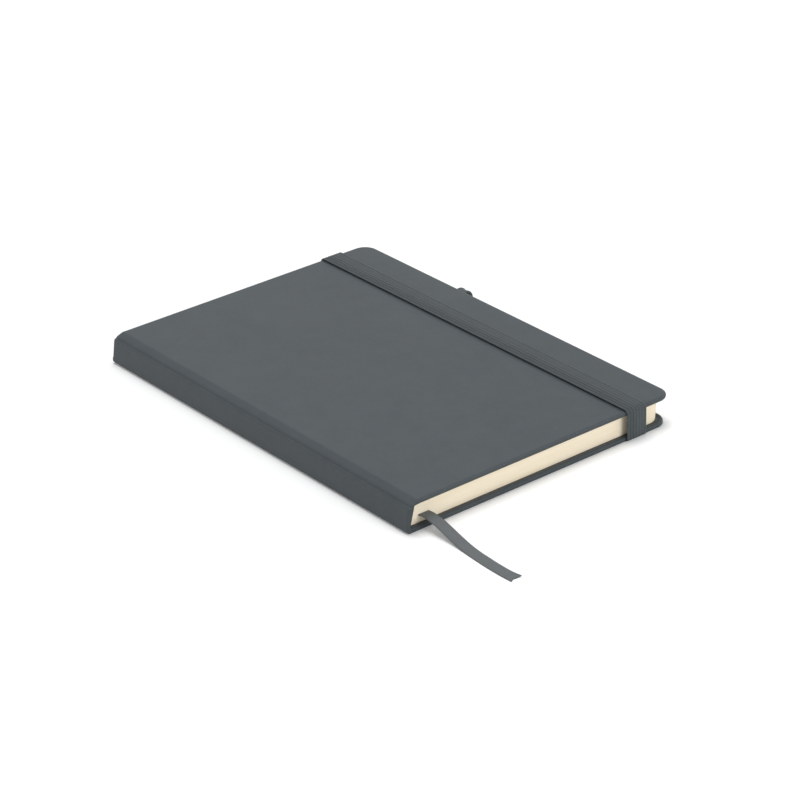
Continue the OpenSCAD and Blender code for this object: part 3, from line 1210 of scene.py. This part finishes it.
    def build(self, finish: Finish) -> list[bpy.types.Object]:
        """Makes and dresses the three pieces of the sheet.

        Args:
            finish: The covering sheet's finish.

        Returns:
            The front, spine and back pieces.
        """
        over, up, under = self.front_section(), self.spine_section(), self.back_section()
        crease = self.overlap + self.book.crease_radius * math.pi / 2
        bend = (0.0, crease, over.board_start)
        front = CasedSheet(
            over, *self.soft_edge, pleats=Pleats(), cap=(bend, (self.cap, self.cap, 0.0)),
            narrow=(bend, (self.rim_share, self.rim_share, 1.0))).build("front_cover_sheet")
        spine = CasedSheet(
            up, *self.soft_edge, wraps_fore_edge=False, cap=((0.0, up.length), (0.0, self.cap)),
            narrow=((0.0,), (self.rim_share,))).build("spine_sheet")
        back = CasedSheet(under, *self.crisp_edge, pleats=Pleats()).build("back_cover_sheet")
        cut_away(back, self.openings())
        smooth(back, Draft.CREASE)
        for piece in (front, spine, back):
            finish.dress(piece)
        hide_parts("front_cover_skin", "front_joint_skin")
        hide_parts("spine_skin")
        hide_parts("back_cover_skin", "back_joint_skin")
        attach(spine, Body.PAGES.value)
        fold(front, Body.FRONT_COVER, self.front_fold)
        fold(back, Body.BACK_COVER, self.back_fold)
        return [front, spine, back]


@dataclass
class Endpaper:
    """Endpaper pasted into a cover, carried across the joint onto the first leaf."""

    book: Book = BOOK
    hinge: float = 3.0
    hinge_end: float = 2.4
    hinge_columns: int = 37
    window: float = 2.5
    window_end: float = 2.9
    flat_start: float = 6.0
    flat_columns: int = 18
    flat_rows: int = 22
    beside: float = 0.6
    corner_radius: float = 6.6
    corner_steps: int = 16
    relief: float = 0.3
    relief_edge: float = 0.3
    paste: float = 0.005
    least: float = 1e-9
    crease: float = 30.0

    def outline(self, inset: float) -> list[tuple[float, float]]:
        """Outline inside the cover's edge, from the tail beside the spine round to the head.

        Args:
            inset: Distance from the cover's edge.

        Returns:
            Distances from the board's joint edge and places between tail and head.
        """
        book = self.book
        radius = self.corner_radius + book.endpaper_margin - inset
        end = book.fore_x - book.back_joint_x - inset
        half = book.head_y - inset
        tail = [(x, -half) for x in self.columns()]
        head = [(x, half) for x in reversed(self.columns())]
        fore = [(end, y) for y in self.rows()[1:-1]]
        corners = [arc((end - radius, sign * (half - radius)), radius, start, start + math.pi / 2, self.corner_steps)
                   for sign, start in ((-1, -math.pi / 2), (1, 0.0))]
        return [*tail[:-1], *map(tuple, corners[0]), *fore, *map(tuple, corners[1]), *head[1:]]

    def columns(self) -> list[float]:
        """Columns at which the paper has points.

        Returns:
            Their distances from the joint.
        """
        end = self.book.fore_x - self.book.back_joint_x
        edge = end - self.book.turn_in
        return [*np.linspace(-self.hinge, self.hinge_end, self.hinge_columns), self.window_end,
                *np.linspace(self.flat_start, edge - self.beside, self.flat_columns), edge,
                end - self.book.endpaper_margin - self.corner_radius]

    def rows(self) -> list[float]:
        """Rows at which the paper has points.

        Returns:
            Their places between tail and head.
        """
        reach = self.book.head_y - self.book.endpaper_margin - self.corner_radius
        edge = self.book.head_y - self.book.turn_in
        return [-reach, -edge, *np.linspace(-edge + self.beside, edge - self.beside, self.flat_rows), edge, reach]

    def height(self, x: float, y: float) -> float:
        """Height of the paper's pasted side above the board's inner face, lower between the turn-ins.

        Args:
            x: Distance from the joint.
            y: Place between tail and head.

        Returns:
            The height, which is 0 or less.
        """
        book = self.book
        turned = book.turn_in + self.relief_edge
        lowered = self.window < x < book.fore_x - book.back_joint_x - turned and abs(y) < book.head_y - turned
        return -self.relief if lowered else 0.0

    def build(self, front: bool, finish: Finish) -> bpy.types.Object:
        """Makes and dresses one endpaper.

        Args:
            front: Whether it is the front cover's.
            finish: The paper's finish.

        Returns:
            The new piece.
        """
        book = self.book
        margin = book.endpaper_margin
        half = book.head_y - margin

        def place(x: float, y: float, lift: float) -> tuple[float, float, float]:
            """Point in the book's frame.

            Args:
                x: Distance from the joint.
                y: Place between tail and head.
                lift: Height above the paper's pasted side.

            Returns:
                X, Y and Z.
            """
            z = book.cover + self.height(x, y) + lift
            if front:
                return (book.front_joint_x + x, y, book.thickness - z)
            return (book.back_joint_x + x, y, z)

        draft = Draft()
        ring = self.outline(margin)
        inner = self.outline(self.corner_radius + margin - self.least)
        low, high = self.paste, book.endpaper - self.paste
        for lift in (low, high):
            draft.grid(np.array([[place(*p, lift) for p in line] for line in (ring, inner)]))
            draft.grid(np.array([[place(x, y, lift) for y in self.rows()] for x in self.columns()]))
        draft.grid(np.array([[place(*p, lift) for p in ring] for lift in (low, high)]))
        first = [(-self.hinge, y) for y in [-half, *self.rows(), half]]
        draft.grid(np.array([[place(*p, lift) for p in first] for lift in (low, high)]))
        piece = draft.build("front_endpaper_sheet" if front else "back_endpaper_sheet", self.crease)
        finish.dress(piece)
        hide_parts("front_endpaper" if front else "back_endpaper")
        if front:
            fold(piece, Body.FRONT_COVER, Covering.front_fold)
        else:
            fold(piece, Body.BACK_COVER, Covering.back_fold)
        return piece


@dataclass
class Leaves:
    """All the leaves as one block, with the edges of bundles of leaves standing unevenly."""

    book: Book = BOOK
    fore_lean: float = 0.6
    bundles: int = 30
    unevenness: float = 0.035
    groove: float = 0.03
    groove_share: float = 0.22
    seed: int = 4
    corner_steps: int = 14
    tail_points: int = 25
    fore_points: int = 33
    spine_points: int = 17
    crease: float = 60.0

    def outline(self, inset: float, z: float) -> list[tuple[float, float, float]]:
        """Closed outline of the block at a height.

        Args:
            inset: Distance by which it stands back.
            z: The height.

        Returns:
            Its points.
        """
        book = self.book
        shift = z * math.tan(book.lean_angle)
        low = book.spine_x + (book.cover + book.lining) / math.cos(book.lean_angle) + shift
        high = book.spine_x + book.width - book.square + shift * self.fore_lean - inset
        half = book.head_y - book.square - inset
        radius = book.page_corner_radius
        tail = [(x, -half) for x in np.linspace(low, high - radius, self.tail_points)[:-1]]
        tail += map(tuple, arc((high - radius, radius - half), radius, -math.pi / 2, 0, self.corner_steps))
        fore = [(high, y) for y in np.linspace(radius - half, half - radius, self.fore_points)[1:-1]]
        spine = [(low, y) for y in np.linspace(half, -half, self.spine_points)[1:-1]]
        return [(x, y, z) for x, y in (*tail, *fore, *((x, -y) for x, y in reversed(tail)), *spine)]

    def build(self, finish: Finish) -> bpy.types.Object:
        """Makes and dresses the block.

        Args:
            finish: The cut paper's finish.

        Returns:
            The new piece.
        """
        book = self.book
        random = np.random.default_rng(self.seed)
        draft = Draft()
        rows = []
        step, side = book.block / self.bundles, self.groove_share
        for i in range(self.bundles):
            stand = self.unevenness * random.random()
            base = book.leaf_z + i * step
            for share, inset in ((0.0, stand + self.groove), (side, stand), (1 - side, stand)):
                rows.append(self.outline(inset, base + share * step))
        rows.append(self.outline(self.groove, book.leaf_z + book.block))
        numbers = draft.grid(np.array(rows), closed=True)
        draft.face(numbers[0])
        draft.face(numbers[-1])
        piece = draft.build("leaves", self.crease)
        finish.dress(piece)
        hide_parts("page_block")
        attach(piece, Body.PAGES.value)
        return piece


@dataclass
class Band:
    """Cross-section of a woven elastic band: flat below, ribbed above, with a cord along each edge."""

    width: float
    thick: float
    grooves: tuple[float, ...]
    points_per_rib: int = 8
    fullness: float = 0.8
    side: tuple[tuple[float, float], ...] = ((0.42, 0.0), (0.36, 0.32), (0.08, 0.42), (0.0, 0.6), (0.07, 0.8))
    rib_start: float = 0.15
    back_points: int = 8

    def ribs(self) -> list[tuple[float, float]]:
        """Ribbed face, with a groove of its own depth between two ribs.

        Returns:
            Places across the band, and heights.
        """
        depths = (self.grooves[0], *self.grooves, self.grooves[-1])
        pitch = self.width / (len(depths) - 1)
        points = []
        for i in range((len(depths) - 1) * self.points_per_rib + 1):
            place = i / self.points_per_rib
            depth = depths[min(int(place + 0.5), len(depths) - 1)]
            points.append((place * pitch, self.thick - depth * (1 - abs(math.sin(math.pi * place)) ** self.fullness)))
        return points

    def outline(self) -> list[tuple[float, float]]:
        """Closed outline: the ribbed face, then the flat one back, narrower so that the edge cords overhang it.

        Returns:
            Places across the band, and heights.
        """
        edge = self.side[0][0]
        side = [(across, share * self.thick) for across, share in self.side]
        upper = [p for p in self.ribs() if self.rib_start < p[0] < self.width - self.rib_start]
        back = [(self.width - edge - (self.width - 2 * edge) * i / self.back_points, 0.0)
                for i in range(1, self.back_points)]
        return [*side, *upper, *[(self.width - across, height) for across, height in reversed(side)], *back]


@dataclass
class CordedBand(Band):
    """Cross-section of a narrow elastic band that is thin between two round cords along its edges."""

    cord: float = 1.2
    rise: float = 0.3
    cord_points: int = 12
    rib: float = 0.62
    middle_points: int = 26

    def ribs(self) -> list[tuple[float, float]]:
        """Face from one cord over the thin middle to the other.

        Returns:
            Places across the band, and heights.
        """
        low = self.thick - self.rise
        turn = [(self.cord * t, low + self.rise * math.sqrt(math.sin(math.pi * t)))
                for t in np.linspace(0, 1, self.cord_points)]
        middle = [(float(x), low - self.grooves[0] * abs(math.cos(math.pi * (x - self.cord) / self.rib)))
                  for x in np.linspace(self.cord, self.width - self.cord, self.middle_points)[1:-1]]
        return [*turn, *middle, *[(self.width - x, height) for x, height in reversed(turn)]]


def band_rows(
    band: Band, line: np.ndarray, normals: np.ndarray, axis: np.ndarray, origin: float
) -> tuple[np.ndarray, np.ndarray]:
    """Rows of points of a band laid along a line.

    Args:
        band: The band's cross-section.
        line: Points that its flat face follows.
        normals: Directions in which its ribbed face looks, one per point.
        axis: Direction across the band.
        origin: Place on that axis of the band's first edge.

    Returns:
        The rows of points, and their UV places in millimetres.
    """
    outline = band.outline()
    rows = np.array([[p + axis * (origin + across) + n * height for across, height in outline]
                     for p, n in zip(line, normals)])
    flats = np.array([[(across, length) for across, _ in outline] for length in distances(line)])
    return rows, flats


def closed_band(name: str, rows: np.ndarray, flats: np.ndarray, crease: float = 50.0) -> bpy.types.Object:
    """Makes a band with both ends closed.

    Args:
        name: Name of the piece.
        rows: Its rows of points.
        flats: Their UV places in millimetres.
        crease: Angle in degrees above which an edge stays sharp.

    Returns:
        The new object.
    """
    draft = Draft()
    numbers = draft.grid(rows, closed=True, flats=flats)
    draft.face(numbers[0])
    draft.face(numbers[-1])
    return draft.build(name, crease)


def line_normals(line: np.ndarray, turn: float) -> np.ndarray:
    """Unit normals of a line in a plane.

    Args:
        line: The line's points, of two coordinates.
        turn: 1 for normals to its left, or -1 for normals to its right.

    Returns:
        One normal per point.
    """
    steps = np.gradient(line, axis=0)
    steps /= np.linalg.norm(steps, axis=1)[:, None]
    return np.stack([-turn * steps[:, 1], turn * steps[:, 0]], axis=1)


@dataclass
class ClosureStrap:
    """Elastic strap round the closed book, through two slots in the back cover."""

    book: Book = BOOK
    grooves: tuple[float, ...] = (0.42, 0.4, 0.28, 0.17, 0.15, 0.2)
    gap: float = 0.2
    top_bend: float = 1.85
    foot_bend: float = 0.3
    slot_bend: float = 0.25
    slot_end: float = 1.55
    slot_gap: float = 0.02
    straight: float = 0.3
    bend_steps: tuple[int, int, int] = (5, 7, 10)
    step: float = 1.1
    folded: float = 0.17

    def line(self) -> np.ndarray:
        """Inner face of the strap, from the head slot over the front cover to the tail slot.

        Returns:
            Its points in Y and Z.
        """
        book = self.book
        thick, straight = book.strap_thick, self.straight
        out = book.head_y + self.gap
        top = book.thickness + self.gap
        slot = book.slot_y - thick - self.slot_gap
        inner, foot, over = self.slot_bend, self.foot_bend, self.top_bend
        inner_steps, foot_steps, over_steps = self.bend_steps
        first = np.concatenate([
            np.array([(slot, self.slot_end), (slot, thick + inner)]),
            arc((slot + inner, thick + inner), inner, math.pi, 1.5 * math.pi, inner_steps),
            np.array([(slot + inner + self.gap, thick), (out - foot - straight, thick)]),
            arc((out - foot, thick + foot), foot, -math.pi / 2, 0, foot_steps),
            np.array([(out, thick + foot + straight), (out, top - over - straight)]),
            arc((out - over, top - over), over, 0, math.pi / 2, over_steps),
            np.array([(out - over - straight, top)]),
        ])
        whole = np.concatenate([first, first[::-1] * np.array([-1, 1])])
        points = [whole[0]]
        for a, b in zip(whole[:-1], whole[1:]):
            count = max(1, int(math.ceil(float(np.linalg.norm(b - a)) / self.step)))
            points += [a + (b - a) * i / count for i in range(1, count + 1)]
        return np.array(points)

    def build(self, finish: Finish) -> bpy.types.Object:
        """Makes and dresses the strap.

        Args:
            finish: The elastic's finish.

        Returns:
            The new piece.
        """
        line = self.line()
        points, outwards = (np.insert(part, 0, 0.0, axis=1) for part in (line, line_normals(line, -1.0)))
        band = Band(self.book.strap_width, self.book.strap_thick, self.grooves)
        rows, flats = band_rows(band, points, outwards, np.array([1.0, 0, 0]), self.book.strap_x - band.width / 2)
        piece = closed_band("closure_strap_elastic", rows, flats)
        finish.dress(piece)
        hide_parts("closure_strap")
        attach(piece, Body.BACK_COVER.value)
        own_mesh(piece)
        return piece


@dataclass
class PenLoop:
    """Loop of elastic at the fore edge, its two ends pressed together inside the back cover."""

    book: Book = BOOK
    middle: tuple[float, float] = (81.4, 5.3)
    neck: tuple[float, float] = (75.5, 2.1)
    radius: float = 4.2
    neck_run: float = 0.2
    first_end: tuple[float, float] = (-0.6, -0.2)
    last_end: tuple[float, float] = (-0.7, -0.35)
    steps: int = 60
    step: float = 0.3
    lengthwise: tuple[float, ...] = (0.05,)
    tail_thick: float = 1.0
    tail_rise: float = 0.2
    tail_rows: int = 16
    tail_overlap: float = 0.4

    def line(self) -> np.ndarray:
        """Inner face of the band, from the neck round the loop and back to the neck.

        Returns:
            Its points in X and Z.
        """
        neck = np.array(self.neck)
        rise = np.array(self.middle) - neck
        leave = math.pi / 2 + 2 * math.atan2(rise[1], rise[0])
        end = neck + self.neck_run * np.array([math.cos(leave), math.sin(leave)])
        round_pen = arc(self.middle, self.radius - self.book.loop_thick, -math.pi / 2, leave, self.steps)
        return resampled(np.concatenate([[neck + self.first_end], round_pen, [end, end + self.last_end]]), self.step)

    def build(self, finish: Finish) -> list[bpy.types.Object]:
        """Makes and dresses the loop and its pressed ends.

        Args:
            finish: The elastic's finish.

        Returns:
            The loop and its tail.
        """
        book, count = self.book, self.tail_rows
        line = self.line()
        tail_x = np.linspace(book.fore_x - book.loop_tail, self.neck[0] + self.tail_overlap, count)
        runs = (
            ("pen_loop_elastic", CordedBand(book.loop_width, book.loop_thick, self.lengthwise), line,
             line_normals(line, -1.0)),
            ("pen_loop_ends", CordedBand(book.loop_width, self.tail_thick, self.lengthwise, rise=self.tail_rise),
             np.stack([tail_x, np.full(count, book.loop_z)], axis=1), np.tile([0.0, 1.0], (count, 1))))
        loop, tail = (closed_band(name, *band_rows(
            band, np.insert(run, 1, book.loop_y, axis=1), np.insert(outwards, 1, 0.0, axis=1),
            np.array([0, 1.0, 0]), -band.width / 2)) for name, band, run, outwards in runs)
        for piece in (loop, tail):
            finish.dress(piece)
            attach(piece, Body.BACK_COVER.value)
        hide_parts("pen_loop")
        return [loop, tail]


@dataclass
class Bookmark:
    """Free end of the ribbon bookmark, which leaves the tail of the pages and lies on the table.

    The route is in metres. The ribbon's cut end curls and is cut in a slight arc over the end run, and its selvedges
    are thinner.
    """

    route: tuple[tuple[float, float, float], ...] = (
        (-0.0620, -0.1024, 0.005550), (-0.0616, -0.1050, 0.005442), (-0.0614, -0.1080, 0.005010),
        (-0.0612, -0.1110, 0.004416), (-0.0612, -0.1140, 0.003660), (-0.0612, -0.1170, 0.002850),
        (-0.0613, -0.1200, 0.002094), (-0.0614, -0.1230, 0.001392), (-0.0616, -0.1260, 0.000852),
        (-0.0619, -0.1300, 0.000366), (-0.0623, -0.1350, 0.000150), (-0.0626, -0.1400, 0.000150),
        (-0.0629, -0.1450, 0.000150), (-0.0630, -0.1500, 0.000150), (-0.0630, -0.1550, 0.000150),
        (-0.0627, -0.1605, 0.000150))
    width: float = 5.8
    thick: float = 0.3
    across: int = 12
    notch: float = 0.9
    curl: float = 0.5
    end_run: float = 9.0
    selvedge: float = 0.15
    selvedge_thinner: float = 0.45
    steps: int = 4
    crease: float = 60.0

    def centre_line(self) -> np.ndarray:
        """Smooth line through the route's points.

        Returns:
            Its points in millimetres.
        """
        route = np.array(self.route) / MM
        padded = np.concatenate([[route[0] - (route[1] - route[0]) * (0, 1, 1)], route, [2 * route[-1] - route[-2]]])
        points = []
        for i in range(1, len(padded) - 2):
            a, b, c, d = padded[i - 1 : i + 3]
            for t in np.linspace(0, 1, self.steps + 1)[:-1]:
                points.append(0.5 * (2 * b + (c - a) * t + (2 * a - 5 * b + 4 * c - d) * t ** 2
                                     + (3 * b - 3 * c + d - a) * t ** 3))
        return np.array([*points, route[-1]])

    def build(self, finish: Finish) -> bpy.types.Object:
        """Args:
            finish: The ribbon's finish.

        Returns:
            The new piece.
        """
        line = self.centre_line()
        steps = np.gradient(line, axis=0)
        steps[0] = (0, -1, 0)
        steps /= np.linalg.norm(steps, axis=1)[:, None]
        lengths = distances(line)
        total = float(lengths[-1])
        rows, flats = [], []
        for point, along, length in zip(line, steps, lengths):
            side = np.cross(along, [0, 0, 1.0])
            side /= np.linalg.norm(side)
            up = np.cross(side, along)
            near_end = max(0.0, 1 - (total - length) / self.end_run)
            row, flat = [], []
            for face in (1, -1):
                for j in range(self.across + 1):
                    q = (2 * j / self.across - 1) * face
                    edge = 1 - self.selvedge_thinner * max(0.0, abs(q) - 1 + self.selvedge) / self.selvedge
                    back = self.notch * (1 - q * q) * near_end ** 2
                    lift = self.curl * near_end ** 2 * max(0.0, -q) ** 2
                    offset = side * (q * self.width / 2) + up * (face * self.thick / 2 * edge + lift) - along * back
                    row.append(point + offset)
                    flat.append(((q + 1) * self.width / 2, length - back))
            rows.append(row)
            flats.append(flat)
        piece = closed_band("bookmark_ribbon_end", np.array(rows), np.array(flats), self.crease)
        finish.dress(piece)
        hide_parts("bookmark_ribbon")
        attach(piece, Body.PAGES.value)
        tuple(self.route[0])
        return piece


@dataclass
class Studio:
    """Camera, floor and soft light."""

    yaw: float = -38.41
    pitch: float = 27.23
    roll: float = -1.71
    distance: float = 1336.1
    focal: float = 3041.0
    frame_width: float = 800.0
    offset: tuple[float, float] = (7.24, -10.48)
    target: tuple[float, float, float] = (0.0, 0.0, 8.0)
    floor_reach: float = 4000.0
    paper: str = "#f7f8f8"
    floor_glow: float = 0.1
    ambient: float = 0.57
    lamps: tuple[tuple[str, tuple[float, float, float], float, float], ...] = (
        ("overhead_softbox", (0.13, 0.32, 1.5), 0.75, 0.5), ("front_softbox", (0.25, -1.5, 0.4), 0.8, 0.34))

    def camera(self) -> bpy.types.Object:
        """Makes the camera at the photograph's viewing angle.

        Returns:
            The camera.
        """
        yaw, pitch, roll = (math.radians(a) for a in (self.yaw, self.pitch, self.roll))
        back = Vector((math.sin(yaw) * math.cos(pitch), -math.cos(yaw) * math.cos(pitch), math.sin(pitch)))
        right = Vector((math.cos(yaw), math.sin(yaw), 0))
        up = right.cross(-back)
        right, up = right * math.cos(roll) + up * math.sin(roll), up * math.cos(roll) - right * math.sin(roll)
        data = bpy.data.cameras.new("camera")
        data.sensor_width = 36.0
        data.lens = self.focal / self.frame_width * data.sensor_width
        data.clip_start = 0.05
        data.clip_end = 20.0
        camera = bpy.data.objects.new("camera", data)
        place = Vector(self.target) + back * self.distance + right * self.offset[0] + up * self.offset[1]
        turn = Matrix((right, up, back)).transposed().to_4x4()
        camera.matrix_world = Matrix.Translation(place * MM) @ turn
        bpy.context.scene.collection.objects.link(camera)
        bpy.context.scene.camera = camera
        return camera

    def floor(self) -> bpy.types.Object:
        """Makes the pale floor, which shows white to the camera and keeps the book's shadow.

        Returns:
            The floor.
        """
        draft = Draft()
        reach = self.floor_reach
        draft.face([draft.point(p) for p in ((-reach, -reach, 0), (reach, -reach, 0), (reach, reach, 0),
                                             (-reach, reach, 0))])
        floor = draft.build("floor")
        material = bpy.data.materials.new("white_paper_backdrop")
        tree = empty_tree(material)
        seen = add_node(tree, "LightPath", output="Is Camera Ray")
        paper = add_node(tree, "BsdfDiffuse", {"Color": self.paper})
        glow = add_node(tree, "Emission", {
            "Color": "#ffffff", "Strength": add_node(tree, "Math", {0: seen, 1: self.floor_glow}, TIMES)})
        add_node(tree, "OutputMaterial", {"Surface": add_node(tree, "AddShader", {0: paper, 1: glow})})
        floor.data.materials.append(material)
        return floor

    def world(self) -> None:
        """Sets the even light from all round, white where the camera or a reflection sees it."""
        world = bpy.data.worlds.new("white_studio")
        tree = empty_tree(world)
        seen: object = 0.0
        for ray in ("Is Camera Ray", "Is Glossy Ray", "Is Transmission Ray"):
            seen = add_node(tree, "Math", {0: seen, 1: add_node(tree, "LightPath", output=ray)},
                            {"operation": "MAXIMUM"})
        rest = add_node(tree, "Math", {0: seen, 1: 1 - self.ambient}, TIMES)
        strength = add_node(tree, "Math", {0: rest, 1: self.ambient}, ADD)
        glow = add_node(tree, "Background", {"Color": "#ffffff", "Strength": strength})
        add_node(tree, "OutputWorld", {"Surface": glow})
        bpy.context.scene.world = world

    def lamp(self, name: str, place: Sequence[float], size: float, level: float) -> bpy.types.Object:
        """Makes a soft square lamp that looks at the book.

        Args:
            name: The lamp's name.
            place: Its place in metres.
            size: Its side in metres.
            level: Brightness that it gives a white surface facing it at the book, where 1 is white.

        Returns:
            The lamp.
        """
        data = bpy.data.lights.new(name, "AREA")
        data.shape = "SQUARE"
        data.size = size
        distance = Vector(place).length
        data.energy = level * math.pi ** 2 * distance ** 2
        lamp = bpy.data.objects.new(name, data)
        lamp.location = place
        lamp.visible_glossy = False
        lamp.rotation_euler = (-Vector(place)).to_track_quat("-Z", "Y").to_euler()
        bpy.context.scene.collection.objects.link(lamp)
        return lamp

    def build(self) -> None:
        """Makes the floor, the light and the view settings."""
        self.floor()
        self.world()
        for settings in self.lamps:
            self.lamp(*settings)
        bpy.context.scene.view_settings.view_transform = "Standard"


def dress_hidden(finishes: dict[str, Finish]) -> None:
    """Gives the carried-over solids inside the book their real materials.

    Args:
        finishes: Finish of each node, by the node's name.
    """
    for name, finish in finishes.items():
        finish.dress(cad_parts[name])


def report(pieces: Iterable[bpy.types.Object]) -> None:
    """Logs each piece with its number of faces."""
    for piece in pieces:
        LOG.info("%s: %d faces", piece.name, len(piece.data.polygons))


def main() -> None:
    """Builds the camera and every piece of the book, in order."""
    logging.basicConfig(level=logging.INFO, format="%(name)s: %(message)s")
    studio = Studio()
    studio.camera()
    sheet, leaves, endpaper = CoatedSheet(), CutLeaves(), PastedPaper()
    ribbon, board, lining = WovenRibbon(), Greyboard(), LiningCloth()
    # Painted light and shade: each elastic's first colour lights its stitches' crests and its second shades their dips.
    strap_elastic = WovenElastic(1.57, "#4b5154", "#3c4245", "woven_polyester_elastic")
    loop_elastic = WovenElastic(1.2, "#565b5e", "#484d50", "woven_loop_elastic")
    report([Bookmark().build(ribbon)])
    report(Covering().build(sheet))
    report([Leaves().build(leaves)])
    report([Endpaper().build(True, endpaper), Endpaper().build(False, endpaper)])
    report([ClosureStrap().build(strap_elastic)])
    report(PenLoop().build(loop_elastic))
    dress_hidden({"front_board": board, "back_board": board, "spine_board": board, "spine_lining": lining,
                  "ribbon_inside": ribbon})
    studio.build()


if __name__ == "__main__":
    main()
